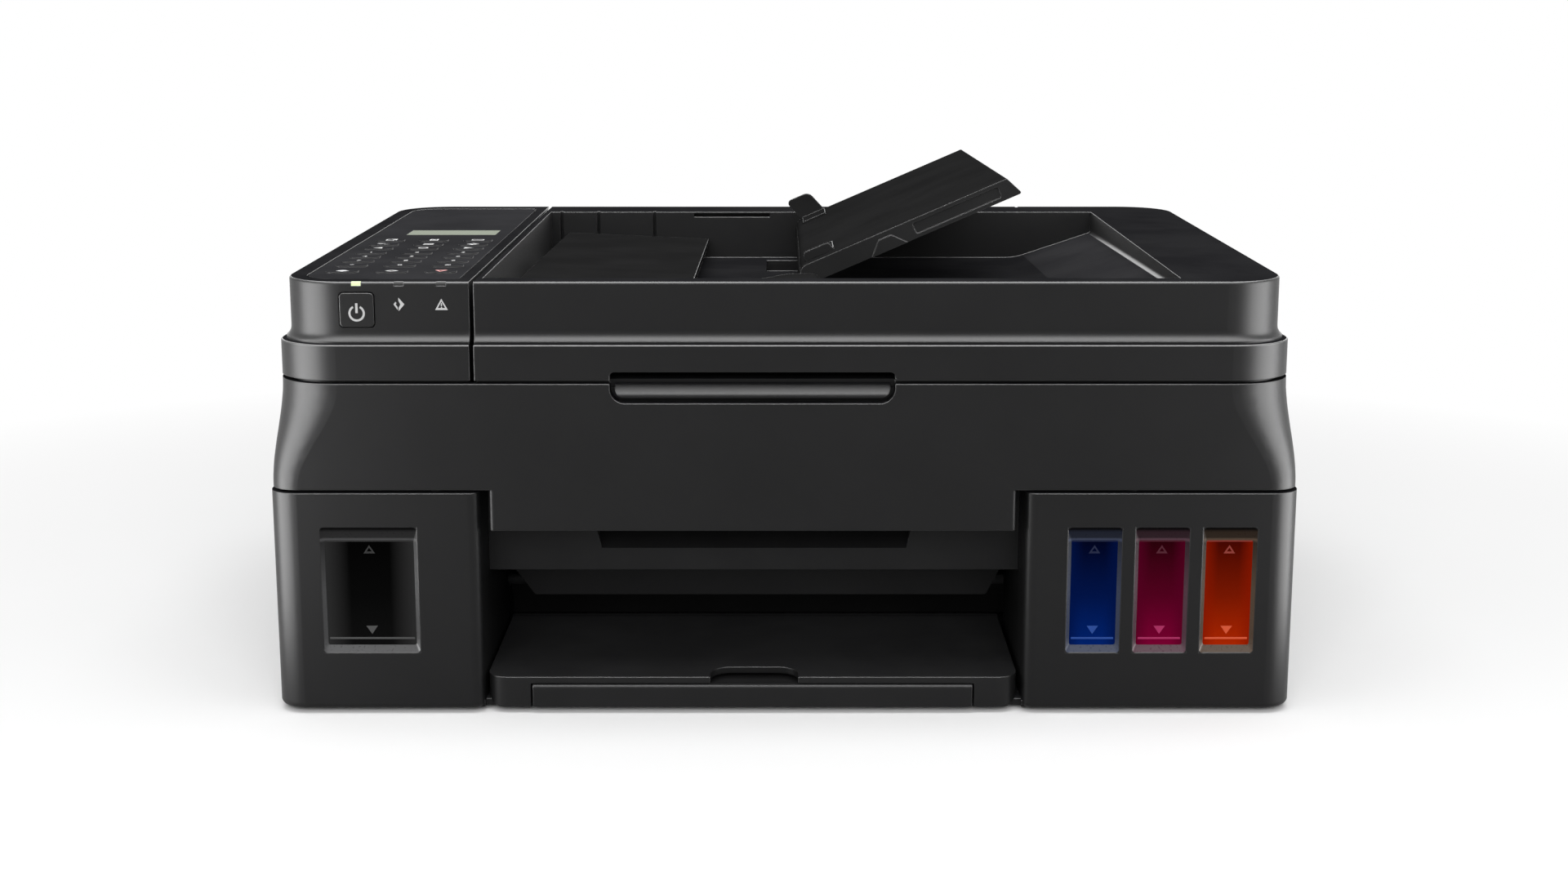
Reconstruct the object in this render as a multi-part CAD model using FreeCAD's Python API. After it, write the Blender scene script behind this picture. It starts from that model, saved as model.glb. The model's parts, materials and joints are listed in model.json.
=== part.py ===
import FreeCAD, Part
import math
import os

# Overall size of the printer, millimetres. X is to the right, Y to the back, Z up.
WIDTH = 445.0
DEPTH = 330.0
HALF_WIDTH = WIDTH / 2
FRONT = -DEPTH / 2
REAR = DEPTH / 2
FOOT_HEIGHT = 2.0
FLOOR_TOP = 5.0
WALL = 2.5
RING_WALL = 3.0
BOTTOM_EDGE = 2.4
CLEAR = 0.05
FAR = 300.0

# Levels of the seams between base, scanning unit and lids
BASE_TOP = 98.5
SCAN_BOTTOM = 99.8
SCAN_EDGE = 145.8
SCAN_TOP = 147.0
LID_BOTTOM = 147.3
RIM_TOP = 162.5
LID_FRONT_TOP = 189.0
LID_SLOPE = 1.3

# Plan of the scanning unit and the lids, and the rounding of the lids' edges
SCAN_HALF = 221.9
SCAN_REAR = 150.0
RIM_HALF = 219.4
RIM_FRONT = -163.4
RIM_REAR = 155.0
STEP_INSET = 4.2
STEP_RADIUS = 3.3
RIM_EDGE = 0.7
TOP_EDGE = 1.2
RIM_CORNER = 29.0
LID_CORNER = 27.0
BASE_CORNER = 13.0
LID_FRONT = RIM_FRONT + STEP_INSET
LID_REAR = RIM_REAR - STEP_INSET
SEAM_X = -132.85
SEAM_GAP = 1.9

# Tank blocks on both sides of the paper exit, side walls, hand grips and rear decks
BLOCK_REAR = -80.0
LEFT_BLOCK_INNER = -131.2
RIGHT_BLOCK_INNER = 103.9
INNER_CORNER = 5.0
SIDE_INNER = 180.0
DECK_FRONT = 156.0
DECK_THICK = 3.0
GRIP_FRONT = -40.0
GRIP_REAR = 60.0
GRIP_TOP = 24.0
GRIP_DEPTH = 13.0
REST_X = 150.0
REST_Y = -158.0
REST_RADIUS = 2.5
FOOT_X = 196.0
FOOT_Y = 140.0
FOOT_RADIUS = 9.0

# Ink windows, tanks and caps
WINDOW_LOW = 27.4
WINDOW_HIGH = 83.6
BLACK_WINDOW = (-200.3, -158.4)
COLOUR_WINDOWS = {"cyan": (122.2, 145.6), "magenta": (151.3, 174.7), "yellow": (180.4, 203.9)}
BEVEL_SIDE = 1.5
BEVEL_BOTTOM = 3.2
BEVEL_TOP = 1.0
TANK_LOW = 14.0
LID_POCKET_FLOOR = 86.5
POCKET_MARGIN = 20.0
POCKET_HALF = 30.0
CAP_RADIUS = 8.0
CAP_Y = -121.0

# Sockets in the back, as (left, right, low, high), and the cover of the rear paper path
INLET = (-166.0, -141.0, 20.0, 36.0)
DATA_PORT = (126.0, 139.0, 20.0, 32.0)
PHONE_PORT = (144.0, 159.0, 20.0, 33.0)
PORT_DEPTH = 18.0
PIN_XS = (-158.0, -149.0)
REAR_COVER = (-52.0, 102.0, 12.0, 86.0)
GRILLE_LEVELS = (20.0, 28.0, 36.0)

# Print mechanism: it lies left of the middle of the case
FRAME_LEFT = -138.0
FRAME_RIGHT = 115.0
PLATE_THICK = 3.0
ROLLER_Z = 30.0
FEED_Y = 36.0
FEED_SHAFT = 3.0
FEED_GRIP = 6.0
EJECT_Y = -48.0
EJECT_SHAFT = 2.5
EJECT_TYRE = 5.5
FEED_TEETH = 20
IDLER_TEETH = 22
TOOTH_MODULE = 2.0
GEAR_LEFT = -150.0
GEAR_WIDTH = 7.0
GEAR_HUB = 6.0
IDLER_STUD = 3.0
IDLER_Y = FEED_Y - TOOTH_MODULE * (FEED_TEETH + IDLER_TEETH) / 2
RAIL_HALF = 205.0
RAIL_Y = 46.0

# Carriage with its belt drive, and the maintenance station below its parking place
CARRIAGE_X = 150.0
CARRIAGE_HALF = 31.0
PULLEY_RADIUS = 6.0
PULLEY_X = 190.0
PULLEY_PIN = 2.0
BELT_THICK = 1.2
BELT_Y = 56.0
BELT_LOW = 66.0
BELT_HIGH = 72.0
MOTOR_TOP = 58.0
STATION = (122.0, 196.0, -62.0, 36.0)

# Rear paper feed
FEED_LEAN = 37.0
SUPPORT_TOP = (157.0, 100.5)
SUPPORT_LENGTH = 60.0
SUPPORT_THICK = 3.0
CHUTE_LEFT = -133.0
CHUTE_RIGHT = 105.0
CHUTE_LENGTH = 66.0
PICK_RADIUS = 12.0
PICK_SHAFT = 3.0
PICK_REACH = PICK_RADIUS + 0.6
PICK_DROP = 50.0

# Paper exit and output tray
EXIT_Y = -138.0
EXIT_LOW = 58.0
EXIT_HIGH = 94.0
RELIEF_DEPTH = 14.0
CURTAIN_Y = -101.0
CURTAIN_LOW = 36.5
OUTPUT_LEFT = -130.0
OUTPUT_RIGHT = 102.0
OUTPUT_REAR = -72.0
OUTPUT_TOP_FRONT = 16.3
OUTPUT_TOP_REAR = 18.4
OUTPUT_LOW = 2.6
OUTPUT_CORNER = 9.0
EXTENSION_LEFT = -110.0
EXTENSION_RIGHT = 82.0
EXTENSION_GAP = 0.9
EXTENSION_Z = 8.5

# Hinge lines along X, as (Y, Z), and the posts that carry them
UNIT_HINGE = (146.0, 150.0)
COVER_HINGE = (148.0, 160.0)
UNIT_POSTS = (-181.0, 181.0)
COVER_POSTS = (-90.0, 150.0)
POST_WIDTH = 10.0
UNIT_PIN = 3.0
COVER_PIN = 2.5

# Scanner bed
BED_HALF = 211.0
BED_FRONT = -156.0
BED_REAR = 139.0
BED_LEDGE = 143.5
LEDGE_WIDTH = 3.0
LEDGE_FRONT_CORNER = 20.0
LEDGE_REAR_CORNER = 9.0
GLASS_FRONT = -112.0
GLASS_REAR = 108.0
GLASS_LOW = 144.7
GLASS_HIGH = 146.9
GLASSES = ((-92.0, 206.0), (-124.0, -104.0))
SCAN_ROD_Y = -2.0
SCAN_ROD_Z = 122.0
SCAN_ROD_RADIUS = 3.0
SCAN_BAR_X = -114.0
APRON_LEFT = -127.0
APRON_RIGHT = 99.6
APRON_LOW = 82.0

# Finger recess in the front, half in the scanner and half in the document cover
RECESS_LEFT = -74.5
RECESS_RIGHT = 47.2
RECESS_LOW = 137.4
RECESS_HIGH = 150.9
RECESS_DEPTH = 6.5
RECESS_CORNER = 6.5
LIP_GAP = 1.9
LIP_TOP = 145.4

# Operation panel on the left
BUTTON_X = -181.5
BUTTON_SIDE = 14.5
BUTTON_Z = 177.0
LAMP_XS = (-181.5, -163.5, -145.5)
LAMP_WIDTH = 4.0
LAMP_HEIGHT = 1.7
DISPLAY = (-190.5, -145.6, 12.5, 33.0)
KEY_COLUMNS = (-193.5, -172.0, -150.5)
KEY_ROWS = (-128.0, -108.0, -93.0, -78.0, -63.0, -46.0, -31.0, -14.0)
KEY_HALF_X = 7.0
KEY_HALF_Y = 4.2
FILM_LEFT = -207.0
FILM_RIGHT = -138.5
FILM_REAR = 138.0
FILM_DEPTH = 1.4
FILM_GAP = 0.8

# Document feeder in the cover
WELL_LEFT = -129.5
WELL_RIGHT = 170.0
WELL_FRONT = -148.0
WELL_REAR = 121.0
WELL_FLOOR = 170.0
BED_LEVEL = 153.5
PAD_TOP = 150.8
PAD_FRONT = -138.0
DRUM_X = -112.0
DRUM_Z = 167.0
DRUM_SHAFT = 3.0
TRAY_HINGE_X = 10.4
TRAY_HINGE_Z = 185.0
TRAY_ANGLE = 23.3
TRAY_LENGTH = 101.4
TRAY_BELOW = 1.5
TRAY_ABOVE = 7.0
TRAY_FRONT = -122.0
TRAY_REAR = 118.0
TRAY_PIN = 2.5
TRAY_BARREL = 4.2
GUIDE_FRONT_Y = -107.0
GUIDE_REAR_Y = 103.0
GUIDE_HEIGHTS = (4.0, 12.5)
GUIDE_TRAVEL = 50.0

Vec = FreeCAD.Vector


def save(shape, node):
    """Write one piece, or a group of equal pieces, under its name."""
    shape.exportStep("parts/" + node + ".step")


def box(x0, x1, y0, y1, z0, z1):
    return Part.makeBox(x1 - x0, y1 - y0, z1 - z0, Vec(x0, y0, z0))


def rounded_wire(points, radii):
    """Closed flat wire through the corners given, each rounded by its own radius."""
    corners = []
    count = len(points)
    for i in range(count):
        here = Vec(points[i][0], points[i][1], 0)
        to_last = (Vec(points[i - 1][0], points[i - 1][1], 0) - here).normalize()
        to_next = (Vec(points[(i + 1) % count][0], points[(i + 1) % count][1], 0) - here).normalize()
        radius = radii[i] if isinstance(radii, (list, tuple)) else radii
        if radius == 0:
            corners.append((here, None, here))
            continue
        half = to_last.getAngle(to_next) / 2
        reach = radius / math.tan(half)
        towards = (to_last + to_next).normalize()
        middle = here + towards * (radius / math.sin(half) - radius)
        corners.append((here + to_last * reach, middle, here + to_next * reach))
    edges = []
    for i in range(count):
        start, middle, stop = corners[i]
        if middle is not None:
            edges.append(Part.Arc(start, middle, stop).toShape())
        following = corners[(i + 1) % count][0]
        if stop.distanceToPoint(following) > 1e-6:
            edges.append(Part.makeLine(stop, following))
    return Part.Wire(edges)


def rectangle(x0, x1, y0, y1):
    """Corners in order: front left, front right, rear right, rear left."""
    return [(x0, y0), (x1, y0), (x1, y1), (x0, y1)]


def prism(points, radii, z0, z1):
    """Upright prism on a plan outline."""
    face = Part.Face(rounded_wire(points, radii))
    face.translate(Vec(0, 0, z0))
    return face.extrude(Vec(0, 0, z1 - z0))


def along_x(points, radii, x0, x1):
    """Prism along X on an outline given as (Y, Z)."""
    shape = prism(points, radii, x0, x1)
    shape.rotate(Vec(0, 0, 0), Vec(1, 1, 1), 120)
    return shape


def along_y(points, radii, y0, y1):
    """Prism along Y on an outline given as (X, Z)."""
    shape = prism(points, radii, -y1, -y0)
    shape.rotate(Vec(0, 0, 0), Vec(1, 0, 0), 90)
    return shape


def rod_x(x0, x1, y, z, radius):
    return Part.makeCylinder(radius, x1 - x0, Vec(x0, y, z), Vec(1, 0, 0))


def rod_y(y0, y1, x, z, radius):
    return Part.makeCylinder(radius, y1 - y0, Vec(x, y0, z), Vec(0, 1, 0))


def rod_z(z0, z1, x, y, radius):
    return Part.makeCylinder(radius, z1 - z0, Vec(x, y, z0), Vec(0, 0, 1))


def join(shapes):
    first = shapes[0]
    return first.fuse(shapes[1:]).removeSplitter()


def cut_all(shape, tools):
    for tool in tools:
        shape = shape.cut(tool)
    return shape


def group(shapes):
    return Part.makeCompound(shapes)


def middle_of(window):
    return (window[0] + window[1]) / 2


def tilt(shape):
    """Lean a piece with the top of the lids, which rises towards the back."""
    shape.rotate(Vec(0, LID_FRONT, LID_FRONT_TOP), Vec(1, 0, 0), LID_SLOPE)
    return shape


def flat_top(z):
    """Height above the leaning top, as a height before the top is leaned."""
    return LID_FRONT_TOP + z


def plan_at(z, half, front, rear, radii):
    wire = rounded_wire(rectangle(-half, half, front, rear), radii)
    wire.translate(Vec(0, 0, z))
    return wire


def lid_block():
    """Outer form of the two lids as one: rim, hollow step and the leaning top."""
    rim = prism(rectangle(-RIM_HALF, RIM_HALF, RIM_FRONT, RIM_REAR), RIM_CORNER, LID_BOTTOM, RIM_TOP)
    half = RIM_HALF - STEP_INSET
    plan = rectangle(-half, half, LID_FRONT, LID_REAR)
    upper = prism(plan, LID_CORNER, RIM_TOP, LID_FRONT_TOP + 20)
    upper = upper.cut(tilt(box(-FAR, FAR, -FAR, FAR, LID_FRONT_TOP, LID_FRONT_TOP + 60)))
    block = join([rim, upper])
    foot = [edge for edge in block.Edges if on_rim(edge.BoundBox) and inside_step(edge.BoundBox, half)]
    block = block.makeFillet(STEP_RADIUS, foot)
    level = [edge for edge in block.Edges if on_rim(edge.BoundBox)]
    brim = [edge for edge in level if not inside_step(edge.BoundBox, RIM_HALF - 1)]
    return soften_top(block.makeFillet(RIM_EDGE, brim), TOP_EDGE)


def on_rim(bounds):
    """True for the edges at the level of the rim's top."""
    return abs(bounds.ZMax - RIM_TOP) + abs(bounds.ZMin - RIM_TOP) < 0.01


def inside_step(bounds, half):
    """True for the edges within the plan that the half width bounds."""
    inset = RIM_HALF - half
    across = bounds.XMax < half + 0.1 and bounds.XMin > -half - 0.1
    return across and bounds.YMin > RIM_FRONT + inset - 0.1 and bounds.YMax < RIM_REAR - inset + 0.1


def soften_top(block, radius):
    """Round the edge between the leaning top and the sides."""
    slope = math.tan(math.radians(LID_SLOPE))
    top_edges = []
    for edge in block.Edges:
        ends = [edge.valueAt(edge.FirstParameter), edge.valueAt(edge.LastParameter)]
        heights = [p.z - LID_FRONT_TOP - (p.y - LID_FRONT) * slope for p in ends]
        if max(abs(h) for h in heights) < 0.01:
            top_edges.append(edge)
    return block.makeFillet(radius, top_edges)


def base_plan(inset, z0, z1):
    plan = rectangle(-HALF_WIDTH + inset, HALF_WIDTH - inset, FRONT + inset, REAR - inset)
    return prism(plan, BASE_CORNER - inset, z0, z1)


def base_ring():
    """Outer wall of the base, cut later into the side cases and the rear case."""
    outer = soften_bottom(base_plan(0, FOOT_HEIGHT, BASE_TOP))
    return outer.cut(base_plan(RING_WALL, FOOT_HEIGHT, BASE_TOP))


def soften_bottom(solid):
    """Solid of the base with its lower edges rounded."""
    low = [edge for edge in solid.Edges if edge.BoundBox.ZMax < FOOT_HEIGHT + 0.01]
    return solid.makeFillet(BOTTOM_EDGE, low)


def window_hole(x0, x1):
    """Outline of the clear part of a window."""
    low = WINDOW_LOW + BEVEL_BOTTOM
    high = WINDOW_HIGH - BEVEL_TOP
    return rectangle(x0 + BEVEL_SIDE, x1 - BEVEL_SIDE, low, high)


def window_cut(x0, x1):
    """Bevelled hole for one ink window."""
    wide = rectangle(x0, x1, WINDOW_LOW, WINDOW_HIGH)
    wires = []
    for outline, y in ((wide, FRONT - 0.01), (window_hole(x0, x1), FRONT + WALL + 0.01)):
        points = [Vec(x, y, z) for x, z in outline]
        wires.append(Part.makePolygon(points + points[:1]))
    return Part.makeLoft(wires, True, True)


def side_range(side, inner, outer):
    """Span in X between two distances from the middle, on the left (-1) or the right (1)."""
    return sorted((side * inner, side * outer))


def tank_block(x0, x1, radii, windows, side):
    """Hollow front block with lid pocket and windows, the side wall behind it and its hand grip."""
    outer = soften_bottom(prism(rectangle(x0, x1, FRONT, BLOCK_REAR), radii, FOOT_HEIGHT, BASE_TOP))
    outer = outer.cut(base_plan(RING_WALL, 0, FLOOR_TOP))
    inner_radii = [max(r - WALL, 0) for r in radii]
    plan = rectangle(x0 + WALL, x1 - WALL, FRONT + WALL, BLOCK_REAR - WALL)
    shell = outer.cut(prism(plan, inner_radii, FLOOR_TOP, LID_POCKET_FLOOR - WALL))
    middles = [middle_of(window) for window in windows]
    left, right = middles[0] - POCKET_MARGIN, middles[-1] + POCKET_MARGIN
    pocket = rectangle(left, right, CAP_Y - POCKET_HALF, CAP_Y + POCKET_HALF)
    shell = shell.cut(prism(pocket, 4, LID_POCKET_FLOOR, BASE_TOP))
    for window, x in zip(windows, middles):
        shell = shell.cut(window_cut(*window))
        shell = shell.cut(rod_z(LID_POCKET_FLOOR - WALL - 1, LID_POCKET_FLOOR + 1, x, CAP_Y, CAP_RADIUS - 2))
    across = side_range(side, SIDE_INNER, HALF_WIDTH + 1)
    wall = base_ring().common(box(*across, BLOCK_REAR - 1, REAR + 1, 0, BASE_TOP))
    deck = base_plan(0, BASE_TOP - DECK_THICK, BASE_TOP).common(box(*across, DECK_FRONT, REAR, 0, FAR))
    rest = rod_z(BASE_TOP - 1, SCAN_BOTTOM - CLEAR, side * REST_X, REST_Y, REST_RADIUS)
    liner = box(*side_range(side, HALF_WIDTH - GRIP_DEPTH - 2, HALF_WIDTH - 1), GRIP_FRONT - 2, GRIP_REAR + 2,
                FLOOR_TOP, GRIP_TOP + 2)
    hollow = along_x(rectangle(GRIP_FRONT, GRIP_REAR, 0, GRIP_TOP), [0, 0, 8, 8],
                     *side_range(side, HALF_WIDTH - GRIP_DEPTH, HALF_WIDTH + 1))
    return join([shell, wall, deck, rest, liner]).cut(hollow)


def base_tray():
    """Bottom pan: inset plate with stiffening ribs and an open front for the output tray."""
    pan = base_plan(RING_WALL + 0.2, FOOT_HEIGHT, FLOOR_TOP)
    pan = pan.cut(box(LEFT_BLOCK_INNER, RIGHT_BLOCK_INNER, FRONT, FRONT + 6, 0, FLOOR_TOP + 1))
    ribs = [box(-130, 100, y, y + 2, FLOOR_TOP, FLOOR_TOP + 3) for y in (-52, -20, 12)]
    return join([pan] + ribs)


def rubber_feet():
    feet = []
    for x in (-FOOT_X, FOOT_X):
        for y in (-FOOT_Y, FOOT_Y):
            foot = rod_z(0, FOOT_HEIGHT, x, y, FOOT_RADIUS)
            feet.append(foot.makeChamfer(0.6, [foot.Edges[-1]]))
    return group(feet)


def ink_tank(window):
    """Moulded tank: body, sight window that fills the hole in the case, filling neck."""
    x0, x1 = window
    middle = middle_of(window)
    half = (x1 - x0) / 2 + 2.2
    pane = along_y(window_hole(x0 + 0.2, x1 - 0.2), 1.0, FRONT + 1.6, FRONT + WALL + 1)
    plan = rectangle(middle - half, middle + half, FRONT + WALL + 0.3, BLOCK_REAR - WALL - 1)
    top = LID_POCKET_FLOOR - WALL - 0.4
    body = prism(plan, 2.0, TANK_LOW, top)
    neck = rod_z(top - 1, LID_POCKET_FLOOR + 1, middle, CAP_Y, CAP_RADIUS - 2.3)
    return join([body, pane, neck])


def tank_caps():
    """Turned plugs with a grip rim over each filling neck."""
    caps = []
    z = LID_POCKET_FLOOR + 1
    profile = [(0, z), (CAP_RADIUS, z), (CAP_RADIUS, z + 4), (CAP_RADIUS - 2, z + 5), (CAP_RADIUS - 3, z + 7),
               (0, z + 7)]
    points = [Vec(radius, 0, height) for radius, height in profile]
    for window in [BLACK_WINDOW] + list(COLOUR_WINDOWS.values()):
        face = Part.Face(Part.makePolygon(points + points[:1]))
        cap = face.revolve(Vec(0, 0, 0), Vec(0, 0, 1), 360)
        cap.translate(Vec(middle_of(window), CAP_Y, 0))
        caps.append(cap)
    return group(caps)


def tank_lid(windows):
    """Flat lid over the caps, with a finger cut in its front edge."""
    play = 0.3
    left = middle_of(windows[0]) - POCKET_MARGIN + play
    right = middle_of(windows[-1]) + POCKET_MARGIN - play
    plan = rectangle(left, right, CAP_Y - POCKET_HALF + play, CAP_Y + POCKET_HALF - play)
    lid = prism(plan, 3.7, BASE_TOP - 3, BASE_TOP - 0.4)
    skirt = box(left + 4, right - 4, CAP_Y + 22, CAP_Y + 25, LID_POCKET_FLOOR, BASE_TOP - 3)
    lid = lid.cut(rod_z(BASE_TOP - 4, BASE_TOP, (left + right) / 2, CAP_Y - 33, 9))
    return join([lid, skirt])


def port_box(port, depth, proud):
    x0, x1, z0, z1 = port
    return box(x0, x1, REAR - depth, REAR + proud, z0, z1)


def rear_case():
    """Back wall between the side cases: socket holes, grille, cover of the rear paper path, decks."""
    wall = base_ring().common(box(-SIDE_INNER, SIDE_INNER, REAR - 5, REAR + 1, 0, BASE_TOP))
    wall = cut_all(wall, [port_box(port, 6, 1) for port in (INLET, DATA_PORT, PHONE_PORT)])
    wall = cut_all(wall, [box(-110, -60, REAR - 6, REAR + 1, z, z + 3) for z in GRILLE_LEVELS])
    x0, x1, z0, z1 = REAR_COVER
    groove = along_y(rectangle(x0, x1, z0, z1), 5, REAR - 1, REAR + 1)
    groove = groove.cut(along_y(rectangle(x0 + 1, x1 - 1, z0 + 1, z1 - 1), 4, REAR - 2, REAR + 2))
    middle = (x0 + x1) / 2
    scoop = along_y(rectangle(middle - 18, middle + 18, z1 - 16, z1 - 4), 5.9, REAR - 1.8, REAR + 1)
    wall = cut_all(wall, [groove, scoop])
    spans = ((-SIDE_INNER, CHUTE_LEFT - 3), (CHUTE_RIGHT + 3, SIDE_INNER))
    decks = [box(left, right, DECK_FRONT, REAR - 2, BASE_TOP - DECK_THICK, BASE_TOP) for left, right in spans]
    return join([wall] + decks)


def rear_ports():
    """Mains inlet with two pins, square data socket and telephone socket."""
    x0, x1, z0, z1 = INLET
    inlet = along_y(rectangle(x0, x1, z0, z1), 7.5, REAR - PORT_DEPTH, REAR - 0.6)
    inlet = inlet.cut(along_y(rectangle(x0 + 2.5, x1 - 2.5, z0 + 2.5, z1 - 2.5), 5.4, REAR - 15, REAR))
    pins = [rod_y(REAR - 15, REAR - 4, x, (z0 + z1) / 2, 1.2) for x in PIN_XS]
    sockets = [join([inlet] + pins)]
    for port, wall in ((DATA_PORT, 1.5), (PHONE_PORT, 2.0)):
        x0, x1, z0, z1 = port
        hollow = box(x0 + wall, x1 - wall, REAR - 14, REAR, z0 + wall, z1 - wall)
        sockets.append(port_box(port, PORT_DEPTH, -0.4).cut(hollow))
    x0, x1, z0, z1 = DATA_PORT
    sockets[1] = join([sockets[1], box(x0 + 4, x1 - 4, REAR - 14, REAR - 5, z0 + 4.8, z1 - 4.8)])
    return group(sockets)


def main_board():
    """Circuit board on four pillars behind the sockets for data and telephone."""
    low = 16.0
    top = low + 1.6
    board = box(108, 172, 84, REAR - 4, low, top)
    pillars = [rod_z(FLOOR_TOP, low, x, y, 3) for x in (113, 167) for y in (90, 155)]
    chips = [box(130, 150, 100, 120, top, top + 2.4), box(160, 176, 92, 104, top, top + 2)]
    cans = [rod_z(top, top + 12.4, 118, y, 4) for y in (110, 124)]
    return join([board] + pillars + chips + cans)


def power_supply():
    """Boxed supply behind the mains inlet, with cooling slots in its left side."""
    case = prism(rectangle(-205, -140, 66, 136), 3, FLOOR_TOP, 52)
    return cut_all(case, [box(-206, -203, y, y + 3, 20, 40) for y in (80, 92, 104, 116)])


def gear(teeth, module, phase):
    """Flat outline of a spur gear with straight flanks, as (Y, Z) points about its own axis."""
    pitch = teeth * module / 2
    root = pitch - 1.2 * module
    tip = pitch + 0.75 * module
    step = 2 * math.pi / teeth
    points = []
    for i in range(teeth):
        middle = step * i + phase
        for radius, share in ((root, -0.30), (tip, -0.12), (tip, 0.12), (root, 0.30)):
            angle = middle + share * step
            points.append((radius * math.cos(angle), radius * math.sin(angle)))
    return points


def gear_wheel(teeth, phase, y, hub):
    """Gear with a thinner web and a hub, on the left of the frame."""
    points = [(y + p, ROLLER_Z + q) for p, q in gear(teeth, TOOTH_MODULE, phase)]
    wheel = along_x(points, 0, GEAR_LEFT, GEAR_LEFT + GEAR_WIDTH)
    rim = teeth * TOOTH_MODULE / 2 - 5
    pocket = rod_x(GEAR_LEFT - 1, GEAR_LEFT + 2.2, y, ROLLER_Z, rim)
    return wheel.cut(pocket.cut(rod_x(GEAR_LEFT - 1, GEAR_LEFT + 3, y, ROLLER_Z, hub)))


def feed_roller():
    shaft = rod_x(GEAR_LEFT, FRAME_RIGHT + 4, FEED_Y, ROLLER_Z, FEED_SHAFT)
    grip = rod_x(-122, 96, FEED_Y, ROLLER_Z, FEED_GRIP)
    return join([shaft, grip, gear_wheel(FEED_TEETH, 0, FEED_Y, GEAR_HUB)])


def eject_roller():
    shaft = rod_x(GEAR_LEFT, FRAME_RIGHT + 4, EJECT_Y, ROLLER_Z, EJECT_SHAFT)
    tyres = [rod_x(x - 7, x + 7, EJECT_Y, ROLLER_Z, EJECT_TYRE) for x in range(-104, 90, 36)]
    return join([shaft, gear_wheel(FEED_TEETH, 0, EJECT_Y, GEAR_HUB)] + tyres)


def idler_gear():
    half_step = math.pi / IDLER_TEETH
    wheel = gear_wheel(IDLER_TEETH, half_step, IDLER_Y, GEAR_HUB + 1)
    return wheel.cut(rod_x(GEAR_LEFT - 1, FRAME_LEFT, IDLER_Y, ROLLER_Z, IDLER_STUD + CLEAR))


def print_frame():
    """Side plates that carry the rollers, the cross beam and the stud of the idler."""
    outline = [(-66, FLOOR_TOP), (56, FLOOR_TOP), (56, 26), (46, 37), (-56, 37), (-66, 28)]
    plates = [along_x(outline, 0, x, x + PLATE_THICK) for x in (FRAME_LEFT, FRAME_RIGHT - PLATE_THICK)]
    channel = [(-34, 9), (20, 9), (20, 22), (16, 22), (16, 12), (-30, 12), (-30, 22), (-34, 22)]
    beam = along_x(channel, 0, FRAME_LEFT, FRAME_RIGHT)
    stud = rod_x(GEAR_LEFT, FRAME_LEFT, IDLER_Y, ROLLER_Z, IDLER_STUD)
    bores = [rod_x(FRAME_LEFT - 1, FRAME_RIGHT + 1, y, ROLLER_Z, radius + CLEAR)
             for y, radius in ((FEED_Y, FEED_SHAFT), (EJECT_Y, EJECT_SHAFT))]
    return cut_all(join(plates + [beam, stud]), bores)


def platen():
    """Ribbed table under the print heads."""
    plate = box(FRAME_LEFT + PLATE_THICK, FRAME_RIGHT - PLATE_THICK, -38, 27, 22, 31)
    plate = plate.cut(box(-124, 98, -26, 14, 26, 32))
    rib_xs = [-118 + 19.5 * i for i in range(11)]
    ribs = [along_x([(-38, 31), (27, 31), (24, 35), (-32, 35)], 0, x, x + 2) for x in rib_xs]
    bars = [box(x, x + 2, -26, 14, 26, 31) for x in rib_xs]
    return join([plate] + ribs + bars)


def chassis_rail():
    """Bent sheet that guides the carriage, on a post at each end."""
    inner = RAIL_Y - 2
    lip = RAIL_Y - 14
    outline = [(inner, 54), (RAIL_Y, 54), (RAIL_Y, 92), (lip, 92), (lip, 90), (inner, 90)]
    rail = along_x(outline, 0, -RAIL_HALF, RAIL_HALF)
    posts = [box(x, x + 8, RAIL_Y - 8, RAIL_Y, FLOOR_TOP, 54) for x in (-RAIL_HALF, RAIL_HALF - 8)]
    return join([rail] + posts)


def carriage():
    """Open-topped holder for two cartridges, hooked over the rail, with a belt clamp."""
    x0 = CARRIAGE_X - CARRIAGE_HALF
    x1 = CARRIAGE_X + CARRIAGE_HALF
    body = along_x([(-40, 44), (40, 44), (40, 78), (-26, 84), (-40, 76)], [4, 0, 4, 6, 6], x0, x1)
    body = cut_all(body, [box(x, x + 28, -36, 22, 42, 90) for x in (CARRIAGE_X - 29, CARRIAGE_X + 1)])
    lips = [box(x0, x1, -36, -33, 44, 46), box(x0, x1, 19, 22, 44, 46)]
    claw = [(28, 76), (40, 76), (40, 89.6), (31.6, 89.6), (31.6, 92.4), (40, 92.4), (40, 95), (28, 95)]
    hook = along_x(claw, 0, x0 + 6, x1 - 6)
    shoe = box(x0 + 6, x1 - 6, 40, 43.7, 56, 62)
    return join([body] + lips + [hook, shoe])


def print_cartridges():
    """Two cartridges: body, nose with the nozzle plate, and a grip on top."""
    nose = [(-20, 46), (-20, 38), (4, 38), (4, 46)]
    outline = [(-35.5, 46)] + nose + [(21.5, 46), (21.5, 70), (8, 80), (-35.5, 74)]
    cartridges = []
    for x in (CARRIAGE_X - 28.5, CARRIAGE_X + 1.5):
        body = along_x(outline, [0, 0, 1, 1, 0, 0, 2, 4, 4], x, x + 27)
        cartridges.append(join([body, box(x + 8, x + 19, -35.5, -31, 70, 80)]))
    return group(cartridges)


def stadium(radius, z0, z1):
    """Upright body with round ends over the two pulleys."""
    plan = rectangle(-PULLEY_X - radius, PULLEY_X + radius, BELT_Y - radius, BELT_Y + radius)
    return prism(plan, radius - 0.001, z0, z1)


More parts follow.
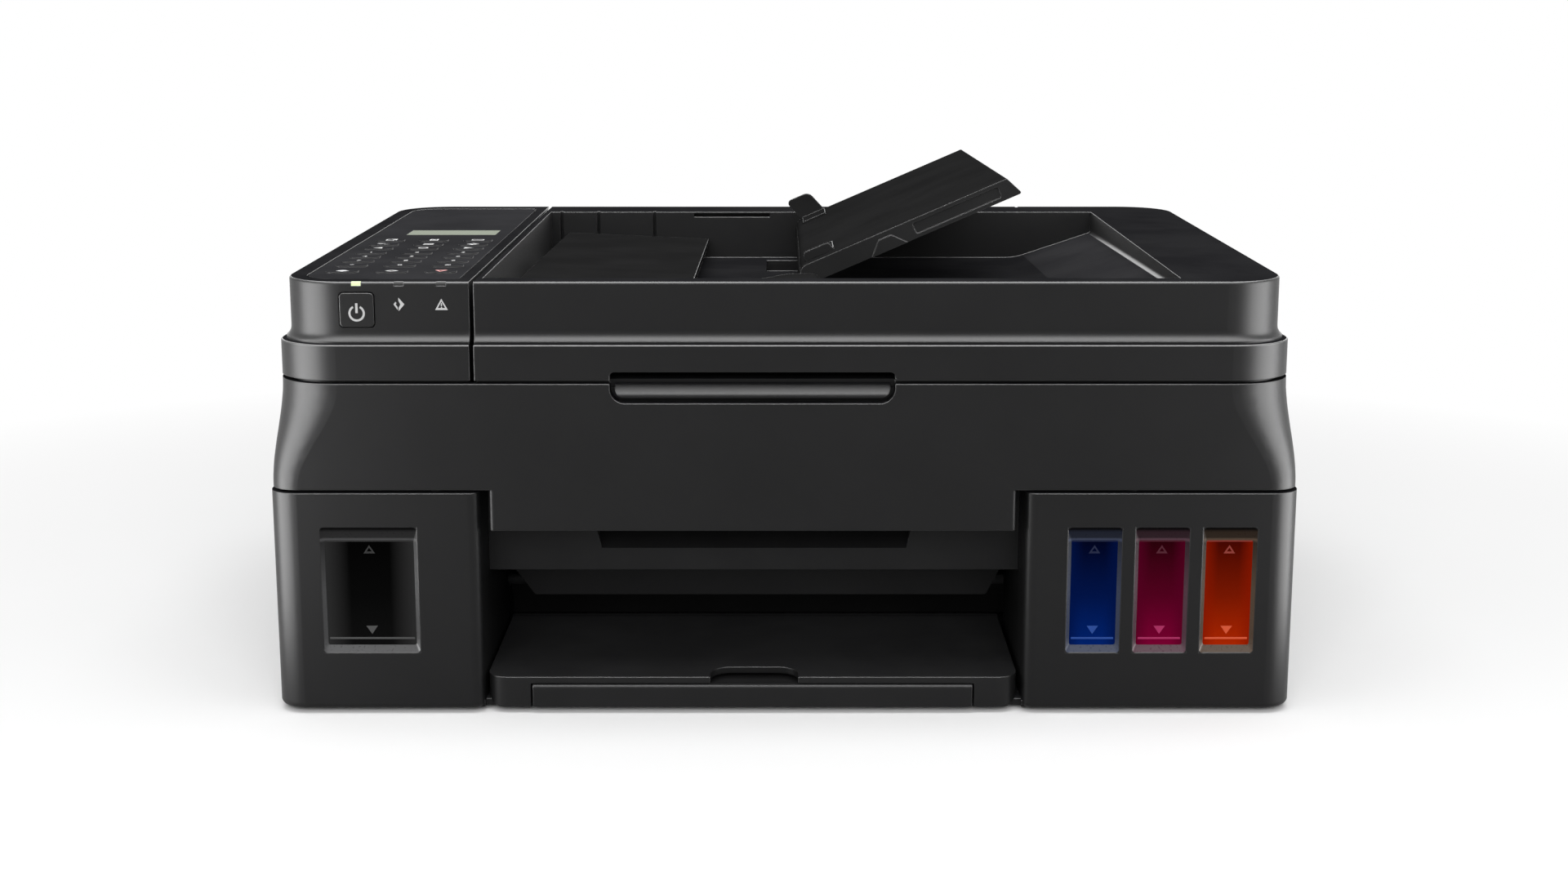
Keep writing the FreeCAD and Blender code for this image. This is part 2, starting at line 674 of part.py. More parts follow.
def drive_belt():
    inner = PULLEY_RADIUS + 0.1
    return stadium(inner + BELT_THICK, BELT_LOW, BELT_HIGH).cut(stadium(inner, BELT_LOW, BELT_HIGH))


def belt_pulley(x):
    """Flanged pulley with a bore for its pin."""
    wheel = rod_z(BELT_LOW - 1.5, BELT_HIGH + 1.5, x, BELT_Y, PULLEY_RADIUS)
    flanges = [rod_z(z, z + 1.2, x, BELT_Y, PULLEY_RADIUS + 2) for z in (BELT_LOW - 1.5, BELT_HIGH + 0.3)]
    return join([wheel] + flanges).cut(rod_z(BELT_LOW - 3, BELT_HIGH + 3, x, BELT_Y, PULLEY_PIN + CLEAR))


def drive_motors():
    """Carriage motor under the right pulley, stand of the left pulley, and the feed motor."""
    can = rod_z(FLOOR_TOP, MOTOR_TOP, PULLEY_X, BELT_Y + 4, 14)
    collar = rod_z(MOTOR_TOP, MOTOR_TOP + 2, PULLEY_X, BELT_Y, 6)
    shaft = rod_z(MOTOR_TOP + 2, BELT_HIGH + 3, PULLEY_X, BELT_Y, PULLEY_PIN)
    stand = box(-PULLEY_X - 7, -PULLEY_X + 7, BELT_Y - 4, BELT_Y + 8, FLOOR_TOP, MOTOR_TOP + 2)
    pin = rod_z(MOTOR_TOP + 2, BELT_HIGH + 3, -PULLEY_X, BELT_Y, PULLEY_PIN)
    feed = rod_x(-196, -160, -10, FLOOR_TOP + 16, 16)
    tip = rod_x(-160, -152, -10, FLOOR_TOP + 16, 5)
    return group([join([can, collar, shaft]), join([stand, pin]), join([feed, tip])])


def purge_unit():
    """Maintenance station under the parked carriage: tub, two rubber caps, wiper."""
    x0, x1, y0, y1 = STATION
    tub = prism(rectangle(x0, x1, y0, y1), 3, FLOOR_TOP, 30)
    tub = tub.cut(prism(rectangle(x0 + 4, x1 - 4, y0 + 4, y1 - 4), 2, 14, 31))
    cups = []
    for x in (CARRIAGE_X - 24, CARRIAGE_X + 6):
        cups.append(box(x, x + 18, -19, 3, 14, 37).cut(box(x + 2, x + 16, -17, 1, 33, 38)))
    wiper = box(x1 - 9, x1 - 7, -24, 6, 14, 37.5)
    return join([tub] + cups + [wiper])


def lean_back(shape):
    """Turn an upright piece back about the mouth of the rear slot."""
    shape.rotate(Vec(0, SUPPORT_TOP[0], SUPPORT_TOP[1]), Vec(1, 0, 0), -FEED_LEAN)
    return shape


def rear_feeder():
    """Sloping back of the rear feed with side walls and legs."""
    y, z = SUPPORT_TOP
    back_y = y + SUPPORT_THICK
    low = z - CHUTE_LENGTH
    walls = (CHUTE_LEFT, CHUTE_RIGHT - 3)
    back = box(CHUTE_LEFT + 3, CHUTE_RIGHT - 3, back_y + 0.4, back_y + 3, low, z - 6)
    sides = [box(x, x + 3, y - 24, back_y + 3, low, z - 12) for x in walls]
    bore = rod_x(CHUTE_LEFT - 7, CHUTE_RIGHT + 5, y - PICK_REACH, z - PICK_DROP, PICK_SHAFT + CLEAR)
    chute = lean_back(join([back] + sides).cut(bore))
    chute = chute.common(box(-FAR, FAR, 0, REAR - 3.2, FLOOR_TOP, BASE_TOP - 0.2))
    legs = [box(x, x + 3, 104, 120, FLOOR_TOP, 58) for x in walls]
    return join([chute] + legs)


def pick_roller():
    """Shaft with two rubber rollers that draw a sheet from the rear feed."""
    y, z = SUPPORT_TOP
    shaft = rod_x(CHUTE_LEFT - 2, CHUTE_RIGHT + 2, y - PICK_REACH, z - PICK_DROP, PICK_SHAFT)
    tyres = [rod_x(x, x + 18, y - PICK_REACH, z - PICK_DROP, PICK_RADIUS) for x in (-58, 12)]
    return lean_back(join([shaft] + tyres))


def paper_support():
    """Sliding plate with three long openings and a rounded top edge."""
    y, z = SUPPORT_TOP
    plate = along_y(rectangle(-118, 90, z - SUPPORT_LENGTH, z), [2, 2, 12, 12], y, y + SUPPORT_THICK)
    slots = [along_y(rectangle(x, x + 32, z - 46, z - 16), 6, y - 1, y + 4) for x in (-80, -30, 20)]
    return lean_back(cut_all(plate, slots))


def exit_frame():
    """Face above the paper exit with its deep relief, the deck, the hood and the curtain behind."""
    left, right = LEFT_BLOCK_INNER, RIGHT_BLOCK_INNER
    face = box(left, right, EXIT_Y, EXIT_Y + 4, EXIT_LOW, EXIT_HIGH)
    deck = box(left, right, EXIT_Y, -72, EXIT_HIGH, EXIT_HIGH + 3)
    hood = along_x([(EXIT_Y + 4, 58), (EXIT_Y + 4, 61), (-72, 52), (-72, 49)], 0, left, right)
    pocket = box(-86, 59, EXIT_Y, EXIT_Y + RELIEF_DEPTH + 2, 65, EXIT_HIGH)
    relief = along_y([(-81, 68), (54, 68), (57, 80), (-84, 80)], 0, EXIT_Y - 1, EXIT_Y + RELIEF_DEPTH)
    scoop = [(EXIT_Y - 1, 67), (EXIT_Y + RELIEF_DEPTH, 80), (EXIT_Y - 1, 80)]
    relief = relief.common(along_x(scoop, 0, -FAR, FAR))
    curtain = along_y([(-115.7, CURTAIN_LOW), (93.5, CURTAIN_LOW), (right, 57), (left, 57)], [1, 1, 0, 0],
                      CURTAIN_Y, CURTAIN_Y + 3)
    return join([face, deck, hood, pocket, curtain]).cut(relief)


def output_tray():
    """Sloping tray with rounded front skirt, rear lip, ledges for the extension and a finger notch."""
    plan = rectangle(OUTPUT_LEFT, OUTPUT_RIGHT, FRONT + 1, OUTPUT_REAR)
    radii = [OUTPUT_CORNER, OUTPUT_CORNER, 2, 2]
    body = prism(plan, radii, FLOOR_TOP + CLEAR, 30)
    skirt = prism(plan, radii, OUTPUT_LOW, 10).common(box(-FAR, FAR, FRONT, FRONT + 5.5, 0, 30))
    body = join([body, skirt])
    end = OUTPUT_REAR + 1
    lip_z = OUTPUT_TOP_REAR + 0.9
    surface = [(FRONT, OUTPUT_TOP_FRONT), (OUTPUT_REAR - 2.5, OUTPUT_TOP_REAR), (OUTPUT_REAR - 1.5, lip_z),
               (end, lip_z), (end, 40), (FRONT, 40)]
    body = body.cut(along_x(surface, 0, -FAR, FAR))
    room = [(FRONT - 1, 0), (end, 0), (end, OUTPUT_TOP_REAR - 3), (FRONT - 1, OUTPUT_TOP_FRONT - 3)]
    body = body.cut(along_x(room, 0, EXTENSION_LEFT - EXTENSION_GAP, EXTENSION_RIGHT + EXTENSION_GAP))
    front_view = rectangle(OUTPUT_LEFT, OUTPUT_RIGHT, OUTPUT_LOW, 40)
    ledge_xs = (EXTENSION_LEFT - 1, EXTENSION_RIGHT - 7)
    ledges = [box(x, x + 8, FRONT + 12, OUTPUT_REAR, 6.5, EXTENSION_Z - 0.1) for x in ledge_xs]
    notch = prism(rectangle(-32.5, 6, FRONT - 8, FRONT + 15), [0, 0, 9, 9], 4, 40)
    body = body.common(along_y(front_view, [6, 6, 0, 0], FRONT, OUTPUT_REAR))
    return join([body] + ledges).cut(notch)


def output_support():
    """Flat extension with a grip lip across its front."""
    plan = rectangle(EXTENSION_LEFT + 0.5, EXTENSION_RIGHT - 0.5, FRONT + 1, OUTPUT_REAR - 10)
    plate = prism(plan, [0, 0, 10, 10], EXTENSION_Z, EXTENSION_Z + 2.5)
    section = rectangle(FRONT, FRONT + 4, OUTPUT_LOW, 12.9)
    lip = along_x(section, [1, 0, 0, 1.5], EXTENSION_LEFT, EXTENSION_RIGHT)
    top = EXTENSION_Z + 2.5
    ribs = [box(x, x + 2, FRONT + 2, OUTPUT_REAR - 16, top, top + 1.4) for x in (-90, -52, 22, 60)]
    return join([plate, lip] + ribs)


def hinge_outline(hinge, radius, low):
    y, z = hinge
    return rectangle(y - radius, y + radius, low, z + radius)


def scanner_hinges():
    """Two posts that carry the scanning unit, each with a bore for its pin."""
    posts = []
    for x in UNIT_POSTS:
        outline = hinge_outline(UNIT_HINGE, 7, FLOOR_TOP)
        post = along_x(outline, [0, 0, 6.9, 6.9], x - POST_WIDTH / 2, x + POST_WIDTH / 2)
        posts.append(post.cut(rod_x(x - 20, x + 20, *UNIT_HINGE, UNIT_PIN + CLEAR)))
    return group(posts)


def post_room(x, top):
    """Notch in the rear of the scanning unit for one hinge post."""
    return box(x - 6, x + 6, UNIT_HINGE[0] - 11, REAR, 90, top)


def recess_room(z1):
    """Room of the finger recess in the scanner, with round lower corners."""
    corners = [RECESS_CORNER, RECESS_CORNER, 0, 0]
    outline = rectangle(RECESS_LEFT, RECESS_RIGHT, RECESS_LOW, z1)
    return along_y(outline, corners, RIM_FRONT - 5, RIM_FRONT + RECESS_DEPTH)


def recess_lip():
    """Sloping lip that lies in the finger recess, apart from its rim by a gap."""
    rear = RIM_FRONT + RECESS_DEPTH + 0.5
    low = RECESS_LOW + LIP_GAP
    nose = RIM_FRONT + 1.2
    section = [(rear, low), (nose, low), (nose, low + 1.6), (nose + 3.7, LIP_TOP), (rear, LIP_TOP)]
    bar = along_x(section, [0, 0.6, 2.5, 1.2, 0], RECESS_LEFT, RECESS_RIGHT)
    corner = RECESS_CORNER - LIP_GAP
    outline = rectangle(RECESS_LEFT + LIP_GAP, RECESS_RIGHT - LIP_GAP, low, LIP_TOP + 1)
    return bar.common(along_y(outline, [corner, corner, 0, 0], RIM_FRONT, rear))


def scanner_case():
    """Drawn-in ring of the scanning unit with its front apron, finger recess and hinge ears."""
    sections = [
        plan_at(SCAN_BOTTOM, SCAN_HALF, FRONT + 0.6, SCAN_REAR, [13, 13, 8, 8]),
        plan_at(110, SCAN_HALF - 0.2, FRONT + 0.7, SCAN_REAR, [15, 15, 8, 8]),
        plan_at(134, RIM_HALF + 0.5, FRONT + 1.3, SCAN_REAR, [27, 27, 8, 8]),
        plan_at(SCAN_EDGE, RIM_HALF, RIM_FRONT, SCAN_REAR, [RIM_CORNER, RIM_CORNER, 8, 8]),
    ]
    ring = Part.makeLoft(sections, True, False)
    plan = rectangle(APRON_LEFT, APRON_RIGHT, FRONT + 0.6, FRONT + 3.6)
    apron = prism(plan, [2, 2, 0, 0], APRON_LOW, SCAN_BOTTOM)
    ring = join([ring, apron])
    ring = ring.cut(prism(bed_plan(0), 8, SCAN_BOTTOM - 1, BED_LEDGE))
    corners = [LEDGE_FRONT_CORNER, LEDGE_FRONT_CORNER, LEDGE_REAR_CORNER, LEDGE_REAR_CORNER]
    ring = ring.cut(prism(bed_plan(LEDGE_WIDTH), corners, BED_LEDGE, SCAN_TOP + 1))
    ring = join([ring.cut(recess_room(SCAN_TOP + 1)), recess_lip()])
    ears = []
    for x in UNIT_POSTS:
        ring = ring.cut(post_room(x, SCAN_TOP + 5))
        for left in (x - 12, x + 6):
            ears.append(along_x(hinge_outline(UNIT_HINGE, 4, SCAN_TOP - 4), [0, 0, 3.9, 3.9], left, left + 6))
        ears.append(rod_x(x - 12, x + 12, *UNIT_HINGE, UNIT_PIN))
    return join([ring] + ears)


def bed_plan(widening):
    return rectangle(-BED_HALF - widening, BED_HALF + widening, BED_FRONT - widening, BED_REAR + widening)


def scanner_bottom():
    """Underside of the scanning unit with stiffening ribs inside."""
    top = SCAN_BOTTOM + 2.7
    plate = prism(bed_plan(0), 8, SCAN_BOTTOM + 0.2, top)
    ribs = [box(-205, 205, y, y + 2, top, top + 5.3) for y in (-110, -55, 55, 110)]
    return cut_all(join([plate] + ribs), [post_room(x, SCAN_TOP) for x in UNIT_POSTS])


def platen_frame():
    """Top of the scanning unit around its two glasses, with a seat under each."""
    plan = rectangle(-131.5, BED_HALF + LEDGE_WIDTH, BED_FRONT - LEDGE_WIDTH, BED_REAR + LEDGE_WIDTH)
    frame = prism(plan, [0, LEDGE_FRONT_CORNER, LEDGE_REAR_CORNER, 0], BED_LEDGE, SCAN_TOP)
    for x0, x1 in GLASSES:
        frame = frame.cut(box(x0, x1, GLASS_FRONT, GLASS_REAR, GLASS_LOW, SCAN_TOP + 1))
        frame = frame.cut(box(x0 + 3, x1 - 3, GLASS_FRONT + 3, GLASS_REAR - 3, BED_LEDGE - 1, SCAN_TOP))
    frame = cut_all(frame, [post_room(x, SCAN_TOP + 1) for x in UNIT_POSTS])
    rear = RIM_FRONT + RECESS_DEPTH + 0.6
    return frame.cut(box(RECESS_LEFT, RECESS_RIGHT, RIM_FRONT, rear, BED_LEDGE - 1, FAR))


def platen_glass():
    return group([box(x0, x1, GLASS_FRONT, GLASS_REAR, GLASS_LOW, GLASS_HIGH) for x0, x1 in GLASSES])


def scan_rod():
    return rod_x(-BED_HALF, BED_HALF, SCAN_ROD_Y, SCAN_ROD_Z, SCAN_ROD_RADIUS)


def scan_bar():
    """Sensor bar across the glass with its slider on the rod."""
    x = SCAN_BAR_X
    bar = along_y(rectangle(x - 9, x + 9, 128, 142.5), [1, 1, 3, 3], GLASS_FRONT - 6, GLASS_REAR + 6)
    bar = bar.cut(box(x - 3, x + 3, GLASS_FRONT + 2, GLASS_REAR - 2, 138, 143))
    slider = box(x - 12, x + 12, SCAN_ROD_Y - 14, SCAN_ROD_Y + 14, SCAN_ROD_Z - 6, 129)
    slider = slider.cut(rod_x(x - 16, x + 14, SCAN_ROD_Y, SCAN_ROD_Z, SCAN_ROD_RADIUS + CLEAR))
    return join([bar, slider])


def film_plan(gap):
    return rectangle(FILM_LEFT + gap, FILM_RIGHT - gap, LID_FRONT + 9 + gap, FILM_REAR - gap)


def display_hole(play, z0, z1):
    x0, x1, y0, y1 = DISPLAY
    return box(x0 + play, x1 - play, y0 + play, y1 - play, flat_top(z0), flat_top(z1))


def button_outline(play):
    half = BUTTON_SIDE / 2 + play
    return rectangle(BUTTON_X - half, BUTTON_X + half, BUTTON_Z - half, BUTTON_Z + half)


def panel_case():
    """Hollow operation panel on the left of the cover, with a tongue that stands in the scanner."""
    case = lid_block().common(box(-FAR, SEAM_X - SEAM_GAP / 2, -FAR, FAR, 100, FAR))
    right = SEAM_X - SEAM_GAP / 2
    inside = prism(rectangle(-211.5, right - 3, LID_FRONT + 3, 147), [20, 2, 2, 20], LID_BOTTOM - 1, 230)
    inside = inside.cut(tilt(box(-FAR, FAR, -FAR, FAR, flat_top(-3.4), FAR)))
    left = -BED_HALF - LEDGE_WIDTH + 0.4
    front = BED_FRONT - LEDGE_WIDTH + 0.4
    rear = BED_REAR + LEDGE_WIDTH - 0.4
    corners = [LEDGE_FRONT_CORNER - 0.4, 1, 1, LEDGE_REAR_CORNER - 0.4]
    tongue = prism(rectangle(left, right - 0.8, front, rear), corners, BED_LEDGE, LID_BOTTOM + 3)
    inner = [corners[0] - 2.4, 1, 1, corners[3] - 2.4]
    tongue = tongue.cut(prism(rectangle(left + 2.4, right - 3.2, front + 2.4, rear - 2.4), inner, 0, FAR))
    case = join([case.cut(inside), tongue])
    case = case.cut(tilt(prism(film_plan(0), [14, 3, 3, 14], flat_top(-FILM_DEPTH), flat_top(10))))
    case = case.cut(along_y(button_outline(0.4), 2, LID_FRONT - 10, LID_FRONT + 10))
    case = case.cut(tilt(display_hole(0, -6, 5)))
    case = cut_all(case, [lamp(x) for x in LAMP_XS])
    return case.cut(box(UNIT_POSTS[0] - 14, UNIT_POSTS[0] + 14, 132, REAR, 140, 160))


def lamp(x):
    """Room of a small lens on the front top edge of the panel."""
    half = LAMP_WIDTH / 2
    low = LID_FRONT_TOP - LAMP_HEIGHT
    return box(x - half, x + half, LID_FRONT - 1, LID_FRONT + 1.6, low, LID_FRONT_TOP + 1)


def lamp_lenses():
    block = lid_block()
    return group([lamp(x).common(block) for x in LAMP_XS])


def key_sheet():
    """Film over the panel top with raised keys and a hole for the display."""
    sheet = prism(film_plan(FILM_GAP), [14, 3, 3, 14], flat_top(-FILM_DEPTH), flat_top(-0.1))
    sheet = sheet.cut(display_hole(0, -5, 5))
    keys = []
    for y in KEY_ROWS:
        for x in KEY_COLUMNS:
            plan = rectangle(x - KEY_HALF_X, x + KEY_HALF_X, y - KEY_HALF_Y, y + KEY_HALF_Y)
            keys.append(prism(plan, 3, flat_top(-0.2), flat_top(0.5)))
    return tilt(join([sheet] + keys))


def display_window():
    return tilt(display_hole(0.1, -3.4, -0.2))


def power_button():
    """Square push button with a flange behind the panel front."""
    cap = along_y(button_outline(0), 1.7, LID_FRONT - 0.5, LID_FRONT + 5)
    flange = box(BUTTON_X - 9, BUTTON_X + 9, LID_FRONT + 4.6, LID_FRONT + 6, BUTTON_Z - 9, BUTTON_Z + 3)
    return join([cap, flange])


def cover_hinges():
    """Two posts on the scanning unit that carry the document cover."""
    posts = []
    for x in COVER_POSTS:
        outline = hinge_outline(COVER_HINGE, 5, SCAN_EDGE)
        post = along_x(outline, [0, 0, 4.9, 4.9], x - POST_WIDTH / 2, x + POST_WIDTH / 2)
        post = post.cut(box(x - 20, x + 20, SCAN_REAR, REAR, SCAN_EDGE - 1, SCAN_TOP + 5))
        posts.append(post.cut(rod_x(x - 20, x + 20, *COVER_HINGE, COVER_PIN + CLEAR)))
    return group(posts)


def guide_pocket(y0, y1, wall):
    """Pocket in the well floor for the fins of the folded tray, or its liner with a wall."""
    x = TRAY_HINGE_X
    return box(x - 20 - wall, x + 5.6 + wall, y0 - wall, y1 + wall, 164.0 - wall, WELL_FLOOR + 1 - 2 * wall)


def cover_shell():
    """Document cover: rim, deep output well, drum bed, ribs inside and hinge ears."""
    cover = lid_block().common(box(SEAM_X + SEAM_GAP / 2, FAR, -FAR, FAR, 100, FAR))
    rib_top = WELL_FLOOR - 3
    cavity = prism(rectangle(-94, 212, -156, 130), [2, 20, 4, 2], LID_BOTTOM - 1, WELL_FLOOR - 4)
    ribs = [box(x, x + 2, PAD_FRONT, 132, PAD_TOP, rib_top) for x in (-20, 60, 140)]
    ribs += [box(-96, 214, y, y + 2, PAD_TOP, rib_top) for y in (-90, -20, 50)]
    ribs.append(box(-96, 214, PAD_FRONT - 3, PAD_FRONT - 1, LID_BOTTOM + 0.5, rib_top))
    pocket_spans = ((GUIDE_FRONT_Y - 4, GUIDE_FRONT_Y + GUIDE_TRAVEL + 2),
                    (GUIDE_REAR_Y - GUIDE_TRAVEL - 2, GUIDE_REAR_Y + 4))
    ribs += [guide_pocket(y0, y1, 1.5) for y0, y1 in pocket_spans]
    cover = cover.cut(cavity.cut(ribs[0].fuse(ribs[1:])))
    cover = cover.cut(prism(rectangle(-126, 210, PAD_FRONT - 0.5, 128), 4, LID_BOTTOM - 1, PAD_TOP))
    section = [(WELL_LEFT, 215), (WELL_LEFT, BED_LEVEL), (-97, BED_LEVEL), (-97, WELL_FLOOR),
               (128, WELL_FLOOR), (WELL_RIGHT, 184), (WELL_RIGHT, 215)]
    cover = cover.cut(along_y(section, [0, 2, 2, 2, 30, 2, 0], WELL_FRONT, WELL_REAR))
    cover = cut_all(cover, [guide_pocket(y0, y1, 0) for y0, y1 in pocket_spans])
    cover = cover.cut(box(-FAR, FAR, 134, REAR, 140, 150.6))
    for x in COVER_POSTS:
        cover = cover.cut(box(x - 16, x + 16, 138, REAR, 140, 168))
    cover = cover.cut(box(UNIT_POSTS[1] - 14, UNIT_POSTS[1] + 14, 132, REAR, 140, 168))
    recess = rectangle(RECESS_LEFT, RECESS_RIGHT, LID_BOTTOM - 5, RECESS_HIGH)
    cover = cover.cut(along_y(recess, 2.2, RIM_FRONT - 5, -155))
    cover = cover.cut(rod_y(WELL_FRONT - 5, WELL_REAR + 5, DRUM_X, DRUM_Z, DRUM_SHAFT + CLEAR))
    cover = cover.cut(rod_y(WELL_REAR - 1, WELL_REAR + 5, TRAY_HINGE_X, TRAY_HINGE_Z, TRAY_PIN + CLEAR))
    cover = cut_all(cover, rear_wall_slots())
    ears = []
    y, z = COVER_HINGE
    outline = rectangle(y - 4.5, y + 4.5, z - 4.5, 169)
    for x in COVER_POSTS:
        ears += [along_x(outline, [4.4, 4.4, 0, 0], left, left + 5.7) for left in (x - 11, x + 5.3)]
        ears.append(rod_x(x - 11, x + 11, *COVER_HINGE, COVER_PIN))
    return join([cover] + ears)


def rear_wall_slots():
    """Narrow slots in the rear wall of the well and a nick in the cover's rear top edge."""
    slots = [box(x - 0.8, x + 0.8, WELL_REAR - 0.1, WELL_REAR + 3, 172, FAR) for x in (-123.5, -103.0, -72.0)]
    slots.append(box(-50, -8, WELL_REAR - 0.1, WELL_REAR + 5, 192.6, 194.4))
    slots.append(box(130.8, 132.4, LID_REAR - 5, RIM_REAR, 193.8, FAR))
    return slots


def pressure_pad():
    """White pad that holds an original on the glass."""
    return prism(rectangle(-125.5, 209.5, PAD_FRONT, 127.5), 4, SCAN_TOP + 0.1, PAD_TOP)


def adf_guide():
    """Fixed part of the document path with the arm that carries the tray's front pin."""
    slope = [(-120, 181), (-42, 177.5), (-42, 180.5), (-120, 184)]
    shelf = along_y(slope, [1, 0, 0, 1], WELL_FRONT, WELL_REAR)
    tip = TRAY_HINGE_X + 7
    side = [(-46, 172), (tip, 172), (tip, 188.6), (TRAY_HINGE_X - 8, 188.6), (-46, 180.4)]
    arm = along_y(side, [0, 4, 6, 8, 0], WELL_FRONT, TRAY_FRONT - 2)
    arm = arm.cut(rod_y(TRAY_FRONT - 12, TRAY_FRONT, TRAY_HINGE_X, TRAY_HINGE_Z, TRAY_PIN + CLEAR))
    return join([shelf, arm])


def adf_roller():
    """Feed drum: shaft with three rubber sleeves."""
    shaft = rod_y(WELL_FRONT - 4, WELL_REAR + 4, DRUM_X, DRUM_Z, DRUM_SHAFT)
    core = rod_y(WELL_FRONT + 4, WELL_REAR - 4, DRUM_X, DRUM_Z, 7)
    sleeves = [rod_y(y, y + 40, DRUM_X, DRUM_Z, 11) for y in (-125, -34, 57)]
    return join([shaft, core] + sleeves)


def lean_tray(shape):
    """Turn a level piece up to the tray's resting slope."""
    shape.rotate(Vec(TRAY_HINGE_X, 0, TRAY_HINGE_Z), Vec(0, 1, 0), -TRAY_ANGLE)
    return shape


def document_tray():
    """Hinged tray: ribbed underside, slanted free end, hinge barrel, side panel and gusset."""
    x = TRAY_HINGE_X
    low = TRAY_HINGE_Z - TRAY_BELOW
    high = TRAY_HINGE_Z + TRAY_ABOVE
    end = x + TRAY_LENGTH
    profile = [(x - 2, low), (end, low), (end - 3.9, high), (x - 2, high)]
    tray = along_y(profile, [1, 0.8, 0.8, 4], TRAY_FRONT, TRAY_REAR)
    pitch = (TRAY_REAR - TRAY_FRONT - 6) / 4
    bays = [box(x + 9, end - 9, y, y + pitch - 2.5, low - 1, high - 2.4)
            for y in [TRAY_FRONT + 4 + pitch * i for i in range(4)]]
    side_panel = along_y(rectangle(x + 52, end - 9, low + 1.8, high - 1.8), 1, TRAY_FRONT - 1, TRAY_FRONT + 1)
    tray = cut_all(tray, bays + [side_panel])
    barrel = rod_y(TRAY_FRONT, TRAY_REAR, x, TRAY_HINGE_Z, TRAY_BARREL)
    pins = [rod_y(TRAY_FRONT - 10, TRAY_FRONT + 2, x, TRAY_HINGE_Z, TRAY_PIN),
            rod_y(TRAY_REAR - 2, WELL_REAR + 4, x, TRAY_HINGE_Z, TRAY_PIN)]
    arch = [(x + 30, low), (x + 47, low), (x + 41.5, high - 2.6), (x + 35.5, high - 2.6)]
    gusset = along_y(arch, [0, 0, 1.5, 1.5], TRAY_FRONT - 1.2, TRAY_FRONT)
    return lean_tray(join([tray, barrel, gusset] + pins))


def document_guide(inner, outward, height):
    """Edge guide: low foot on the tray and an upright fin."""
    x = TRAY_HINGE_X
    z = TRAY_HINGE_Z + TRAY_ABOVE + CLEAR
    fin_y = sorted((inner, inner + outward * 2.5))
    foot_y = sorted((inner - outward * 26, inner + outward * 2.5))
    top = z + height
    lean = 0.36 * height
    outline = [(x + 2.5, z), (x + 16, z), (x + 16 - lean, top), (x + 2.5 - lean, top)]
    fin = along_y(outline, [0, 0, lean, 2], *fin_y)
    foot = box(x + 3, x + 16, *foot_y, z, z + 1.2)
    return lean_tray(join([fin, foot]))


os.makedirs("parts", exist_ok=True)
save(base_tray(), "base_tray")
save(rubber_feet(), "rubber_feet")
left_windows = [BLACK_WINDOW]
right_windows = list(COLOUR_WINDOWS.values())
left_corners = [BASE_CORNER, INNER_CORNER, 0, 0]
right_corners = [INNER_CORNER, BASE_CORNER, 0, 0]
save(tank_block(-HALF_WIDTH, LEFT_BLOCK_INNER, left_corners, left_windows, -1), "left_case")
save(tank_block(RIGHT_BLOCK_INNER, HALF_WIDTH, right_corners, right_windows, 1), "right_case")
save(rear_case(), "rear_case")
save(ink_tank(BLACK_WINDOW), "ink_tank_black")
for colour, window in COLOUR_WINDOWS.items():
    save(ink_tank(window), "ink_tank_" + colour)
save(tank_caps(), "tank_caps")
save(tank_lid(left_windows), "left_tank_lid")
save(tank_lid(right_windows), "right_tank_lid")
save(rear_ports(), "rear_ports")
save(main_board(), "main_board")
save(power_supply(), "power_supply")
save(print_frame(), "print_frame")
save(platen(), "platen")
save(chassis_rail(), "chassis_rail")
save(carriage(), "carriage")
save(print_cartridges(), "print_cartridges")
save(feed_roller(), "feed_roller")
save(eject_roller(), "eject_roller")
save(idler_gear(), "idler_gear")
save(drive_belt(), "drive_belt")
save(belt_pulley(PULLEY_X), "motor_pulley")
save(belt_pulley(-PULLEY_X), "belt_idler")
save(drive_motors(), "drive_motors")
save(purge_unit(), "purge_unit")
save(rear_feeder(), "rear_feeder")
save(pick_roller(), "pick_roller")
save(paper_support(), "paper_support")
save(exit_frame(), "exit_frame")
save(output_tray(), "output_tray")
save(output_support(), "output_support")
save(scanner_hinges(), "scanner_hinges")
save(scanner_case(), "scanner_case")
save(scanner_bottom(), "scanner_bottom")
save(platen_frame(), "platen_frame")
save(platen_glass(), "platen_glass")
save(scan_rod(), "scan_rod")
save(scan_bar(), "scan_bar")
save(panel_case(), "panel_case")
save(key_sheet(), "key_sheet")
save(display_window(), "display_window")
save(lamp_lenses(), "lamp_lenses")
save(power_button(), "power_button")
save(cover_hinges(), "cover_hinges")
save(cover_shell(), "cover_shell")
save(pressure_pad(), "pressure_pad")
save(adf_guide(), "adf_guide")
save(adf_roller(), "adf_roller")
save(document_tray(), "document_tray")
save(document_guide(GUIDE_FRONT_Y, -1, GUIDE_HEIGHTS[0]), "document_guide_front")
save(document_guide(GUIDE_REAR_Y, 1, GUIDE_HEIGHTS[1]), "document_guide_rear")
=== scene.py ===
import json
import math

import bpy
from mathutils import Matrix, Vector


